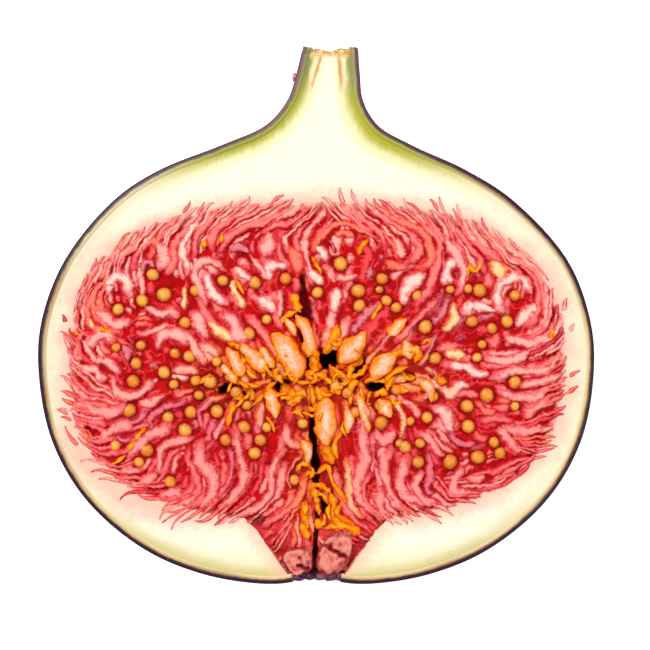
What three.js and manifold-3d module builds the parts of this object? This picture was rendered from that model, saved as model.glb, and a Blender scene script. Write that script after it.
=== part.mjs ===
// Half of a ripe purple fig, cut lengthwise through the stalk and the eye, lying on its back with the cut face up.
// Millimetres. +Y runs along the fruit's axis to the stalk, +X across the cut face, +Z up out of it. The origin is on
// the surface under the fruit, below the middle of its outline.
// Four bodies hold together by colour: the purple skin, the cream flesh, the red pulp with its florets and seeds, and
// the pink scales that close the eye.
import * as THREE from "three";
import { mergeVertices } from "three/addons/utils/BufferGeometryUtils.js";
import Module from "manifold-3d";

const CUT_HEIGHT = 27.35; // the cut face above the surface: the belly's radius less the flat that it rests on
const BELLY_RADIUS = 27.8;
const SKIN_THICKNESS = 0.8;
const GAP = 0.1; // between bodies that touch
const LIFT = 1.5; // how far a cutting solid stands above the cut face

// The outline from the stalk's cut end to the eye: height on the axis, half width, and how far the middle leans to +X.
const OUTLINE = [
  [26.94, 2.75, 1.4],
  [24.0, 3.2, 1.15],
  [21.4, 3.8, 0.85],
  [18.95, 5.6, 0.5],
  [17.0, 9.4, 0],
  [14.45, 15.35, -0.4],
  [11.45, 19.95, -0.3],
  [5.45, 25.15, 0],
  [-0.55, 27.45, 0],
  [-5.5, BELLY_RADIUS, 0],
  [-12.55, 26.5, 0],
  [-18.55, 23.05, 0],
  [-23.5, 17.2, 0],
  [-26.05, 11.05, 0],
  [-26.95, 5.0, 0],
  [-26.75, 2.4, 0],
  [-26.2, 0.5, 0],
];
const OUTLINE_STEPS = 24;
const RIBS = 10;
const AROUND_RIBBED = 40; // steps round the half body: two to each side of a rib
const AROUND_SMOOTH = 20;
const RIB_HEIGHT = 0.16;

// The chamber that holds the pulp: a rounded box of revolution, and a funnel from it to the eye.
const CHAMBER = { middleY: -4.7, halfWidth: 24.8, halfLength: 15.9, depth: 24.6, squareness: 2.65 };
const FUNNEL = [
  [-27.6, 2.3],
  [-26.2, 2.75],
  [-23.8, 4.5],
  [-21.7, 5.9],
  [-18.5, 8.6],
];
const [FUNNEL_LOW, FUNNEL_HIGH] = [FUNNEL[0][0], FUNNEL.at(-1)[0]];
const BRACTS_LOW = -26.45; // on the axis: scales fill the funnel from here
const BRACTS_TOP = -22.7; // to here, and pulp fills it above

// The hollow in the middle of the pulp, a slit across the fruit.
const HOLLOW = { y: -6.9, halfWidth: 8.2, halfHeight: 0.4, depth: 4.0, rim: 0.08 };
const PULP_DROP = 1.1; // how far the juice between the florets stands below the cut face
const RIM_DROP = 0.12; // and how far at the flesh
const FUNNEL_DROP = 0.7; // how far the pulp over the eye stands below the cut face
const BRACTS_DROP = 0.9; // and the tissue between the eye's scales
const ROOT_DROP = 2.0; // the undersides of florets and seeds, sunk in the juice
const FLORET_SWIRL = 0.36; // radians that a floret turns down and outwards as it leaves the flesh
const SEED_RADIUS = 0.8;

// Rings of florets from the flesh to the hollow. from and to are shares of the way from the hollow to the flesh.
const FLORET_RINGS = [
  { count: 38, from: 0.985, to: 0.72, root: 0.38, belly: 0.75, steps: 4, wave: 0.5, shift: 0.0 },
  { count: 23, from: 0.82, to: 0.46, root: 0.5, belly: 1.15, steps: 4, wave: 0.75, shift: 0.5 },
  { count: 13, from: 0.54, to: 0.13, root: 0.6, belly: 1.4, steps: 4, wave: 0.5, shift: 0.25 },
];
const SEED_RINGS = [
  { count: 16, at: 0.76, spread: 0.06 },
  { count: 18, at: 0.59, spread: 0.06 },
  { count: 11, at: 0.38, spread: 0.05 },
];

const wasm = await Module();
wasm.setup();

const vector = (x, y, z) => new THREE.Vector3(x, y, z);
const smooth = (x) => THREE.MathUtils.smoothstep(x, 0, 1);

// A number from 0 to 1 that depends only on its two arguments, so every build draws the same fruit.
function draw(index, channel) {
  const raw = Math.sin(index * 12.9898 + channel * 78.233) * 43758.5453;
  return raw - Math.floor(raw);
}

// A closed surface through rings of equally many points, with a fan over each end, and its faces pointing out.
function loft(rings) {
  const count = rings[0].length;
  const points = rings.flat();
  const index = [];
  for (let i = 0; i < rings.length - 1; i++)
    for (let j = 0; j < count; j++) {
      const a = i * count + j;
      const b = i * count + ((j + 1) % count);
      index.push(a, b, a + count, b, b + count, a + count);
    }
  [0, rings.length - 1].forEach((end) => {
    const middle = points.length;
    points.push(rings[end].reduce((sum, p) => sum.add(p), vector(0, 0, 0)).divideScalar(count));
    for (let j = 0; j < count; j++) {
      const edge = [end * count + j, end * count + ((j + 1) % count)];
      index.push(middle, ...(end ? edge : edge.reverse()));
    }
  });
  return pointOutwards(new THREE.BufferGeometry().setFromPoints(points).setIndex(index));
}

function pointOutwards(geometry) {
  const index = geometry.index.array;
  const at = (i) => new THREE.Vector3().fromBufferAttribute(geometry.attributes.position, index[i]);
  let volume = 0;
  for (let i = 0; i < index.length; i += 3) volume += at(i).dot(at(i + 1).cross(at(i + 2)));
  if (volume < 0) geometry.setIndex(Array.from(index).reverse());
  return geometry;
}

// three.js geometry to a solid and back. Points nearer to each other than weld become one.
function solidOf(geometry, weld = 1e-4) {
  const bare = geometry.clone();
  bare.deleteAttribute("normal");
  bare.deleteAttribute("uv");
  const merged = mergeVertices(bare, weld);
  return new wasm.Manifold(
    new wasm.Mesh({
      numProp: 3,
      vertProperties: new Float32Array(merged.attributes.position.array),
      triVerts: new Uint32Array(merged.index.array),
    }),
  );
}

function geometryOf(solid) {
  const mesh = solid.getMesh();
  const geometry = new THREE.BufferGeometry()
    .setAttribute("position", new THREE.BufferAttribute(new Float32Array(mesh.vertProperties), 3))
    .setIndex(new THREE.BufferAttribute(new Uint32Array(mesh.triVerts), 1));
  geometry.computeVertexNormals();
  return geometry;
}

const union = (geometries) => geometries.map((g) => solidOf(g)).reduce((whole, part) => whole.add(part));

// The outline, moved in by inset and with both its ends drawn on past the fruit's own by reach.
const outlineCurve = new THREE.CatmullRomCurve3(
  OUTLINE.map(([y, half, lean]) => vector(half, y, lean)),
  false,
  "centripetal",
);

function outlineStations(inset, reach) {
  const stations = [];
  for (let i = 0; i <= OUTLINE_STEPS; i++) {
    const t = i / OUTLINE_STEPS;
    const { x: half, y, z: lean } = outlineCurve.getPoint(t);
    const along = outlineCurve.getTangent(t);
    const out = vector(-along.y, along.x, 0).normalize();
    stations.push({ t, y: y - inset * out.y, half: Math.max(half - inset * out.x, 0.15), lean });
  }
  const tip = stations[0];
  const end = stations.at(-1);
  return [
    { ...tip, y: OUTLINE[0][0] + reach },
    ...stations.slice(1, -1),
    { ...end, y: end.y - reach },
  ];
}

// Faint ribs run down the skin from the neck and die out at both ends.
function rib(angle, t) {
  const wander = 0.5 * Math.sin(2 * angle + 3 * t);
  return RIB_HEIGHT * Math.sin(Math.PI * t) * Math.cos(2 * RIBS * angle + wander);
}

// The half body under the cut face. lift raises its top above the cut face, so that it can cut another body.
function halfBody({ inset = 0, reach = 0, lift = 0, ribbed = false }) {
  const around = ribbed ? AROUND_RIBBED : AROUND_SMOOTH;
  return loft(
    outlineStations(inset, reach).map(({ t, y, half, lean }) => {
      const ring = [];
      for (let j = 0; j <= around; j++) {
        const angle = (Math.PI * j) / around;
        const radius = half + (ribbed ? rib(angle, t) : 0);
        ring.push(vector(lean + radius * Math.cos(angle), y, CUT_HEIGHT - radius * Math.sin(angle)));
      }
      if (!lift) return ring;
      const top = CUT_HEIGHT + lift;
      return [vector(lean + half, y, top), ...ring, vector(lean - half, y, top)];
    }),
  );
}

// A power of a sine or cosine that keeps its sign, for the chamber's squared-off ellipse.
const squared = (value) => Math.sign(value) * Math.abs(value) ** (2 / CHAMBER.squareness);

// A point of the chamber's rim in the cut face, at an angle round its middle.
function rimPoint(angle, inset = 0) {
  return new THREE.Vector2(
    (CHAMBER.halfWidth - inset) * squared(Math.cos(angle)),
    CHAMBER.middleY + (CHAMBER.halfLength - inset) * squared(Math.sin(angle)),
  );
}

// A point in the cut face, at a share of the way from the hollow's slit to the chamber's rim.
function pulpPoint(angle, share, inset = 0) {
  const slit = new THREE.Vector2(
    HOLLOW.halfWidth * Math.cos(angle),
    HOLLOW.y + HOLLOW.halfHeight * Math.sin(angle),
  );
  return slit.lerp(rimPoint(angle, inset), share);
}

// The chamber's bowl, closed by a lid: a flat one above the cut face for cutting, or the pulp's own sunken surface.
const BOWL_AROUND = 32;
const BOWL_RINGS = 8;
const LID_SHARES = [1, 0.93, 0.82, 0.08, 0.04, 0.01];
const BOWL_FULLNESS = 0.85; // under 1 for a bowl that bellies out more than an ellipse
const RIM_SLOPE = 0.2; // the share of the way in over which the juice falls from the flesh to its own level

function chamberBowl(inset, lidHeight) {
  const ringAt = (point) => Array.from({ length: BOWL_AROUND }, (_, j) => point((2 * Math.PI * j) / BOWL_AROUND));
  const rings = [];
  for (let i = 0; i < BOWL_RINGS; i++) {
    const down = (Math.PI / 2) * (1 - (i + 0.12) / BOWL_RINGS);
    const shrink = Math.cos(down) ** BOWL_FULLNESS;
    rings.push(
      ringAt((angle) => {
        const rim = rimPoint(angle, inset);
        return vector(
          rim.x * shrink,
          CHAMBER.middleY + (rim.y - CHAMBER.middleY) * shrink,
          CUT_HEIGHT - (CHAMBER.depth - inset) * Math.sin(down) ** BOWL_FULLNESS,
        );
      }),
    );
  }
  LID_SHARES.forEach((share) =>
    rings.push(
      ringAt((angle) => {
        const p = pulpPoint(angle, share, inset);
        return vector(p.x, p.y, lidHeight(share));
      }),
    ),
  );
  return loft(rings);
}

const flatLid = () => CUT_HEIGHT + LIFT;

function juiceLevel(share) {
  const drop = RIM_DROP + (PULP_DROP - RIM_DROP) * smooth((1 - share) / RIM_SLOPE);
  return CUT_HEIGHT - drop - HOLLOW.depth * smooth((HOLLOW.rim - share) / HOLLOW.rim);
}

// The funnel from the chamber to the eye, as a half cone under the cut face, between two heights on the axis.
const funnelCurve = new THREE.CatmullRomCurve3(FUNNEL.map(([y, half]) => vector(half, y, 0)));
const FUNNEL_AROUND = 14;
const FUNNEL_STEPS = 6;

function funnel(inset, low, high, lid) {
  const ends = [low, high].map((y) => funnelShareAt(y));
  const rings = [];
  for (let i = 0; i <= FUNNEL_STEPS; i++) {
    const { x: half, y } = funnelCurve.getPoint(THREE.MathUtils.lerp(ends[0], ends[1], i / FUNNEL_STEPS));
    const ring = [vector(half - inset, y, CUT_HEIGHT + lid)];
    for (let j = 0; j <= FUNNEL_AROUND; j++) {
      const angle = (Math.PI * j) / FUNNEL_AROUND;
      ring.push(
        vector((half - inset) * Math.cos(angle), y, CUT_HEIGHT - 0.05 - (half - inset) * Math.sin(angle)),
      );
    }
    ring.push(vector(inset - half, y, CUT_HEIGHT + lid));
    rings.push(ring);
  }
  return loft(rings);
}

function funnelShareAt(y) {
  let [low, high] = [0, 1];
  for (let i = 0; i < 30; i++) {
    const middle = (low + high) / 2;
    if (funnelCurve.getPoint(middle).y < y) low = middle;
    else high = middle;
  }
  return low;
}

// The line of a floret in the cut face. It leaves the flesh slanting down and outwards, like a fountain's jet, then
// bends in towards the hollow, and waves on its way in step with its neighbours.
function floretLine(ring, k) {
  const angle = (2 * Math.PI * (k + ring.shift + 0.5 * (draw(k, ring.count) - 0.5))) / ring.count;
  const side = -Math.cos(angle) / (Math.abs(Math.cos(angle)) + 0.22);
  const reach = 0.06 * (draw(k, ring.count + 1) - 0.5);
  const phase = 3 * Math.sin(angle * 2) + 1.6 * draw(k, ring.count + 2);
  const line = [];
  for (let i = 0; i <= ring.steps; i++) {
    const s = i / ring.steps;
    const share = THREE.MathUtils.lerp(ring.from, ring.to + reach, s);
    const turn = FLORET_SWIRL * side * (1 - Math.exp(-(1 - share) / 0.14));
    const p = pulpPoint(angle + turn, share, 0.5);
    const wave = ring.wave * Math.sin(Math.PI * s) * Math.sin(2.6 * Math.PI * s + phase);
    const inward = pulpPoint(angle + turn, share - 0.05, 0.5).sub(p).normalize();
    line.push(new THREE.Vector2(p.x - inward.y * wave, p.y + inward.x * wave));
  }
  return line;
}

// Half width along a floret: thin where it leaves the flesh, full near its rounded inner end.
function floretHalfWidth(ring, s) {
  const swell = ring.root + (ring.belly - ring.root) * smooth(s / 0.65);
  return swell * Math.sqrt(Math.max(1 - Math.max((s - 0.72) / 0.3, 0) ** 2, 0.06));
}

// A floret's section: upright sides out of the juice, and a ridge between two shoulders. Across is in half widths,
// up is the share of the way from the root to the crest.
const FLORET_SECTION = [
  [-1, 0],
  [1, 0],
  [0.92, 0.62],
  [0, 1],
  [-0.92, 0.62],
];

// A floret along a line, with its half width at each of the line's points and its crest's depth under the cut face.
function floretAlong(line, halfWidths, crestDrop) {
  const last = line.length - 1;
  const root = CUT_HEIGHT - ROOT_DROP;
  const rings = line.map((p, i) => {
    const half = halfWidths[i];
    const ahead = line[Math.min(i + 1, last)].clone().sub(line[Math.max(i - 1, 0)]).normalize();
    const height = ROOT_DROP - crestDrop - (i === 0 || i === last ? 0.4 : 0);
    return FLORET_SECTION.map(([across, up]) =>
      vector(p.x - ahead.y * across * half, p.y + ahead.x * across * half, root + up * height),
    );
  });
  return loft(rings);
}

function floret(ring, k) {
  const line = floretLine(ring, k);
  const halfWidths = line.map((_, i) => floretHalfWidth(ring, i / ring.steps));
  return floretAlong(line, halfWidths, 0.05 + 0.35 * draw(k, ring.count + 3));
}

// Short florets hang in the funnel over the eye, from its walls in and up to the crack.
const FUNNEL_FLORETS = 3; // to each side

function funnelFloret(side, k) {
  const y = -20.4 - 0.8 * k;
  const wall = funnelCurve.getPoint(funnelShareAt(y)).x;
  const line = [
    [wall - 1.1, y],
    [(wall + 1.4) / 2, y - 0.1],
    [1.3 + 0.3 * draw(k, 20 + side), y + 1.9],
  ].map(([x, height]) => new THREE.Vector2(side * x, height));
  return floretAlong(line, [0.35, 0.55, 0.3], 0.1 + 0.2 * draw(k, 24 + side));
}

// Shreds of dried floret stand round the hollow and lean in over its rim.
const SHREDS = 10;
const SHRED_HALF = 0.32;

function shred(k) {
  const angle = (2 * Math.PI * (k + 0.4 * draw(k, 5))) / SHREDS;
  const foot = pulpPoint(angle, 0.2);
  const tip = pulpPoint(angle + 0.25 * (draw(k, 6) - 0.5), 0.1);
  const rings = [foot, tip].map((p, end) =>
    [
      [-1.3, -ROOT_DROP],
      [1.3, -ROOT_DROP],
      [0.8, -0.55 - 0.25 * end],
      [-0.8, -0.55 - 0.25 * end],
    ].map(([across, up]) => vector(p.x + across * SHRED_HALF, p.y + 0.3 * end, CUT_HEIGHT + up)),
  );
  return loft(rings);
}

// A seed is the upper half of a small egg on an upright wall. Rings: share of the radius, and height over the middle.
const SEED_AROUND = 6;
const SEED_PROFILE = [
  [1, 0],
  [0.8, 0.5],
  [0.38, 0.75],
];

function seed(ring, k) {
  const angle = (2 * Math.PI * (k + 0.6 * draw(k, ring.count + 4))) / ring.count;
  const share = ring.at + ring.spread * 2 * (draw(k, ring.count + 5) - 0.5);
  const p = pulpPoint(angle, share, 0.5);
  const middle = CUT_HEIGHT - 0.8 - 0.15 * draw(k, 10);
  const turn = 2 * Math.PI * draw(k, 9);
  const rings = [[1, CUT_HEIGHT - ROOT_DROP - middle], ...SEED_PROFILE].map(([radius, up]) =>
    Array.from({ length: SEED_AROUND }, (_, j) => {
      const around = turn + (2 * Math.PI * j) / SEED_AROUND;
      const across = SEED_RADIUS * radius * (1 + 0.1 * Math.cos(2 * (around - turn)));
      return vector(p.x + across * Math.cos(around), p.y + across * Math.sin(around), middle + up);
    }),
  );
  return loft(rings);
}

// The dark crack through the hollow, from high in the pulp down to the eye: points along it and its half width there.
const CRACK = [
  [-2.0, 4.2, 0.35],
  [-1.7, 0.2, 0.7],
  [-0.5, -4.4, 1.0],
  [0.1, -8.2, 0.9],
  [0.0, -12.5, 0.5],
  [0.4, -16.8, 0.45],
  [0.2, -21.0, 0.4],
  [0.0, -24.2, 0.35],
  [0.0, -27.6, 0.3],
];
const CRACK_DEPTH = 2.6;
const CRACK_STEPS = 16;

function crack() {
  const line = new THREE.CatmullRomCurve3(CRACK.map(([x, y, half]) => vector(x, y, half)));
  return loft(
    Array.from({ length: CRACK_STEPS + 1 }, (_, i) => {
      const { x, y, z: half } = line.getPoint(i / CRACK_STEPS);
      return [
        vector(x - half, y, CUT_HEIGHT + LIFT),
        vector(x + half, y, CUT_HEIGHT + LIFT),
        vector(x + 0.3 * half, y, CUT_HEIGHT - CRACK_DEPTH),
        vector(x - 0.3 * half, y, CUT_HEIGHT - CRACK_DEPTH),
      ];
    }),
  );
}

// A scale is a ball squashed flat and turned to face the eye.
function scale(x, y, drop, radii, turn) {
  const ball = new THREE.SphereGeometry(1, 8, 4);
  ball.scale(...radii);
  ball.rotateY(turn);
  return ball.translate(x, y, CUT_HEIGHT - drop);
}

// Two thick scales are cut through on either side of the crack, and thin ones close the eye behind them.
const CUT_SCALES = [
  [-1.85, -24.75, 1.7, [1.45, 1.35, 1.5], 0],
  [1.75, -24.5, 1.9, [1.55, 1.75, 1.7], 0],
];
const EYE_SCALES = 5;
const EYE_RADIUS = 1.45;
const EYE_Y = -26.35;

function bracts() {
  const plug = solidOf(funnel(GAP, BRACTS_LOW, BRACTS_TOP - GAP, -BRACTS_DROP));
  const cut = CUT_SCALES.map((s) => scale(...s));
  const eye = Array.from({ length: EYE_SCALES }, (_, i) => {
    const angle = (Math.PI * (i + 0.5)) / EYE_SCALES;
    return scale(
      EYE_RADIUS * Math.cos(angle),
      EYE_Y,
      0.1 + EYE_RADIUS * Math.sin(angle),
      [1.05, 0.5, 0.75],
      angle - Math.PI / 2,
    );
  });
  return plug.add(union([...cut, ...eye]));
}

// A block that trims a body: below the cut face, or above the surface that the fruit lies on.
function block(low, high) {
  const size = high.clone().sub(low);
  return solidOf(
    new THREE.BoxGeometry(size.x, size.y, size.z).translate(...low.clone().add(high).divideScalar(2)),
  );
}
const ROOM = 40; // from the middle to the sides of a block, outside the whole fruit
const underCut = block(vector(-ROOM, -ROOM, -ROOM), vector(ROOM, ROOM, CUT_HEIGHT));
const aboveSurface = block(vector(-ROOM, -ROOM, 0), vector(ROOM, ROOM, ROOM));

// Withered scales stand off the neck where the stalk begins: one at the cut edge, the others behind it.
const NECK_SCALES = [
  [-2.35, 23.7, 0.45, [0.4, 0.85, 0.45], 0],
  [-0.6, 22.6, 3.2, [0.6, 0.85, 0.4], 0.4],
  [3.6, 23.2, 2.6, [0.6, 0.85, 0.4], -0.8],
];

const eyeRoom = solidOf(funnel(0, FUNNEL_LOW, FUNNEL_HIGH, LIFT));
const chamber = solidOf(chamberBowl(0, flatLid));

const skin = union([halfBody({ ribbed: true }), ...NECK_SCALES.map((s) => scale(...s))])
  .subtract(solidOf(halfBody({ inset: SKIN_THICKNESS, reach: 1.5, lift: LIFT })))
  .subtract(eyeRoom)
  .intersect(underCut)
  .intersect(aboveSurface);

const flesh = solidOf(halfBody({ inset: SKIN_THICKNESS + GAP, reach: -0.35 }))
  .subtract(chamber)
  .subtract(eyeRoom);

const florets = FLORET_RINGS.flatMap((ring) => Array.from({ length: ring.count }, (_, k) => floret(ring, k)));
const seeds = SEED_RINGS.flatMap((ring) => Array.from({ length: ring.count }, (_, k) => seed(ring, k)));
const shreds = Array.from({ length: SHREDS }, (_, k) => shred(k));
const overEye = [-1, 1].flatMap((side) =>
  Array.from({ length: FUNNEL_FLORETS }, (_, k) => funnelFloret(side, k)),
);
const pulp = solidOf(chamberBowl(GAP, juiceLevel))
  .add(solidOf(funnel(GAP, BRACTS_TOP, FUNNEL_HIGH, -FUNNEL_DROP)))
  .add(union([...florets, ...overEye, ...seeds, ...shreds]))
  .subtract(solidOf(crack()));

const eye = bracts()
  .subtract(solidOf(crack()))
  .intersect(solidOf(funnel(GAP, FUNNEL_LOW, BRACTS_TOP - GAP, 0)))
  .intersect(underCut);

// A body as one piece. Its close points become one, and a sliver that a cut leaves loose, or a void as small, is
// dropped; that can bring other points together, so it is done until nothing more comes loose.
const WELD = 1e-3;
const WELD_PASSES = 3;

function onePiece(solid) {
  let piece = solid;
  for (let i = 0; i < WELD_PASSES; i++) {
    const parts = solidOf(geometryOf(piece), WELD).decompose();
    piece = parts.reduce((best, part) => (part.volume() > best.volume() ? part : best));
  }
  return piece;
}

const BODIES = {
  skin: { solid: skin, colour: 0x3a2238, roughness: 0.5 },
  flesh: { solid: flesh, colour: 0xf4ecc0, roughness: 0.6 },
  pulp: { solid: pulp, colour: 0xb5202a, roughness: 0.25 },
  eye_scales: { solid: eye, colour: 0xc9685c, roughness: 0.5 },
};

const fig = new THREE.Group();
for (const [name, { solid, colour, roughness }] of Object.entries(BODIES)) {
  const material = new THREE.MeshStandardMaterial({ color: colour, roughness, metalness: 0 });
  const mesh = new THREE.Mesh(geometryOf(onePiece(solid)), material);
  mesh.name = name;
  fig.add(mesh);
}

export default fig;
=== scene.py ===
import bmesh
import bpy
import numpy as np
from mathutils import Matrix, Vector, kdtree


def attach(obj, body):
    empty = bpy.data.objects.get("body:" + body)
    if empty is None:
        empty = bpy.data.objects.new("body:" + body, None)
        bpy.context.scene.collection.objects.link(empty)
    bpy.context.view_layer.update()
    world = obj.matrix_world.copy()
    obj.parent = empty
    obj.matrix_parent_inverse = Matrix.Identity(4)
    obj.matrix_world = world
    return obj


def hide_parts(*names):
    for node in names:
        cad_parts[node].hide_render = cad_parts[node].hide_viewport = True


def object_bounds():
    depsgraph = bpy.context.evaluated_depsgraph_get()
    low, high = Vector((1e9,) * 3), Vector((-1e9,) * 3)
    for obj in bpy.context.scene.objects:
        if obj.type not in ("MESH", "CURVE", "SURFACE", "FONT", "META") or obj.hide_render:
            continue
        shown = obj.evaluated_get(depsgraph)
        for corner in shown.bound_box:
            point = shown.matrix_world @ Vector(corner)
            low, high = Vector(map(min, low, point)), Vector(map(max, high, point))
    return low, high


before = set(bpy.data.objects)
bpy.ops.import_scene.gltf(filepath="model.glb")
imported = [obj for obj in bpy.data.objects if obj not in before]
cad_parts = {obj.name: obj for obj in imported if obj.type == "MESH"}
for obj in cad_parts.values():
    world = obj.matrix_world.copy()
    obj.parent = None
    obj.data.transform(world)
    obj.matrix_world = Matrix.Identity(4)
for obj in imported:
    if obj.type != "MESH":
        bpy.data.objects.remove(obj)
cad_low, cad_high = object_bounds()

# The view. The photograph looks square at the cut face with the stalk up, so the camera looks straight
# down on the fruit, from far enough for a long lens.
MM = 0.001
CUT = cad_high.z
PICTURE_WIDTH = 65.0 * MM
PICTURE_MIDDLE = (0.85 * MM, -1.05 * MM)
LENS = 100.0


def linked(name, data):
    """An object at the origin with the given data, linked to the scene."""
    piece = bpy.data.objects.new(name, data)
    bpy.context.scene.collection.objects.link(piece)
    return piece


camera = linked("camera", bpy.data.cameras.new("camera"))
camera.data.lens = LENS
camera.data.clip_start = 0.01
camera.location = (*PICTURE_MIDDLE, CUT + PICTURE_WIDTH * LENS / camera.data.sensor_width)
bpy.context.scene.camera = camera

# The body's shape, which skin and flesh share. A fig is round about its axis, so one outline gives it:
# height on the axis, half width, and how far the middle leans to +X, from the stalk's cut end to the eye.
OUTLINE_MM = np.array(
    [
        (26.94, 2.75, 1.4),
        (24.0, 3.2, 1.15),
        (21.4, 3.8, 0.85),
        (18.95, 5.6, 0.5),
        (17.0, 9.4, 0.0),
        (14.45, 15.35, -0.4),
        (11.45, 19.95, -0.3),
        (5.45, 25.15, 0.0),
        (-0.55, 27.45, 0.0),
        (-5.5, 27.8, 0.0),
        (-12.55, 26.5, 0.0),
        (-18.55, 23.05, 0.0),
        (-23.5, 17.2, 0.0),
        (-26.05, 11.05, 0.0),
        (-26.95, 5.0, 0.0),
        (-26.75, 2.4, 0.0),
        (-26.2, 0.5, 0.0),
    ]
)
INSIDE_BOUNDS = 0.002 * MM
SKIN_THICKNESS = 0.8 * MM
CHAMBER_MIDDLE = -4.7 * MM
CHAMBER_HALF = np.array((24.8, 15.9)) * MM
CHAMBER_SQUARENESS = 2.65
FUNNEL_Y = np.array((-27.6, -26.2, -23.8, -21.7, -18.5)) * MM
FUNNEL_HALF = np.array((2.3, 2.75, 4.5, 5.9, 8.6)) * MM


def through(points, shares):
    """Points at shares of the way along a smooth curve through the given ones (centripetal Catmull-Rom)."""
    ends = np.vstack([2 * points[0] - points[1], points, 2 * points[-1] - points[-2]])
    place = np.clip(np.asarray(shares), 0, 1) * (len(points) - 1)
    first = np.minimum(place.astype(int), len(points) - 2)
    t = (place - first)[:, None]
    p0, p1, p2, p3 = (ends[first + i] for i in range(4))
    d0, d1, d2 = (np.sqrt(np.linalg.norm(step, axis=1))[:, None] for step in (p1 - p0, p2 - p1, p3 - p2))
    out = ((p1 - p0) / d0 - (p2 - p0) / (d0 + d1) + (p2 - p1) / d1) * d1
    into = ((p2 - p1) / d1 - (p3 - p1) / (d1 + d2) + (p3 - p2) / d2) * d1
    return (
        p1
        + out * t
        + (3 * (p2 - p1) - 2 * out - into) * t**2
        + (2 * (p1 - p2) + out + into) * t**3
    )


def smooth(x):
    """0 below 0 and 1 above 1, with an eased rise between."""
    x = np.clip(x, 0, 1)
    return x * x * (3 - 2 * x)


def lumps(points, size, seed, octaves=3):
    """Smooth lumps over points in space: sums of turned sine waves, from -1 to 1, about size across."""
    draw = np.random.default_rng(seed)
    total = np.zeros(len(points))
    scale, height = 2 * np.pi / (2.2 * size), 1.0
    for _ in range(octaves):
        for _ in range(5):
            way = draw.normal(size=3)
            way *= scale * draw.uniform(0.7, 1.3) / np.linalg.norm(way)
            total += height * np.sin(points @ way + draw.uniform(0, 6.28))
        scale, height = scale * 2.1, height * 0.5
    return total / 3.2


def store(mesh, key, values):
    """Keeps values on a mesh's points: one number each, or the four of a colour."""
    values = np.asarray(values, np.float32)
    coloured = values.ndim > 1 and values.shape[-1] == 4
    kind, field = ("FLOAT_COLOR", "color") if coloured else ("FLOAT", "value")
    mesh.attributes.new(key, kind, "POINT").data.foreach_set(field, values.ravel())


def mesh_piece(name, points, faces, attributes=(), merged=True):
    """A smooth-shaded mesh object at the origin, its doubles merged and its faces pointing out."""
    mesh = bpy.data.meshes.new(name)
    mesh.from_pydata(points.tolist(), [], faces)
    for key, values in attributes:
        store(mesh, key, values)
    piece = linked(name, mesh)
    work = bmesh.new()
    work.from_mesh(mesh)
    if merged:
        bmesh.ops.remove_doubles(work, verts=work.verts, dist=0.004 * MM)
    bmesh.ops.recalc_face_normals(work, faces=work.faces)
    work.to_mesh(mesh)
    work.free()
    mesh.shade_smooth()
    return piece


def grid_faces(rows, columns):
    """Quads between the rows of a grid of points, each row closed into a ring."""
    faces = []
    for i in range(rows - 1):
        for j in range(columns):
            a, b = i * columns + j, i * columns + (j + 1) % columns
            faces.append((a, b, b + columns, a + columns))
    return faces


# Shader maths. A Socket wraps one output of a node, and Python's operators on it add Math nodes.
class Socket:
    def __init__(self, tree, output):
        self.tree = tree
        self.output = output

    def add(self, kind, settings=None, inputs=None, output=0):
        """Adds a node: its settings first, then the values or links of its sockets."""
        node = self.tree.nodes.new(kind)
        for key, value in (settings or {}).items():
            setattr(node, key, value)
        for key, value in (inputs or {}).items():
            if isinstance(value, Socket):
                self.tree.links.new(value.output, node.inputs[key])
            else:
                node.inputs[key].default_value = value
        return Socket(self.tree, node.outputs[output])

    def maths(self, operation, first, second):
        return self.add("ShaderNodeMath", {"operation": operation}, {0: first, 1: second})

    def __add__(self, other):
        return self.maths("ADD", self, other)

    def __radd__(self, other):
        return self.maths("ADD", other, self)

    def __sub__(self, other):
        return self.maths("SUBTRACT", self, other)

    def __rsub__(self, other):
        return self.maths("SUBTRACT", other, self)

    def __mul__(self, other):
        return self.maths("MULTIPLY", self, other)

    def __rmul__(self, other):
        return self.maths("MULTIPLY", other, self)

    def __rtruediv__(self, other):
        return self.maths("DIVIDE", other, self)

    def __abs__(self):
        return self.maths("ABSOLUTE", self, 0.0)

    def step(self, low, high):
        """0 below low, 1 above high, smooth between; the other way round where low is the larger."""
        flipped = low > high
        edges = {1: min(low, high), 2: max(low, high), 3: float(flipped), 4: float(not flipped)}
        return self.add("ShaderNodeMapRange", {"interpolation_type": "SMOOTHSTEP"}, {0: self, **edges})

    def mix(self, first, second):
        """Colours mixed by this socket as the factor. A text is a colour's web code."""
        first, second = (colour(given) if isinstance(given, str) else given for given in (first, second))
        return self.add("ShaderNodeMix", {"data_type": "RGBA"}, {0: self, 6: first, 7: second}, output=2)


def colour(text):
    """A colour from its web code, as linear red, green, blue and alpha."""
    channels = [int(text[i : i + 2], 16) / 255 for i in (0, 2, 4)]
    return (*(c / 12.92 if c < 0.04045 else ((c + 0.055) / 1.055) ** 2.4 for c in channels), 1.0)


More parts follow.
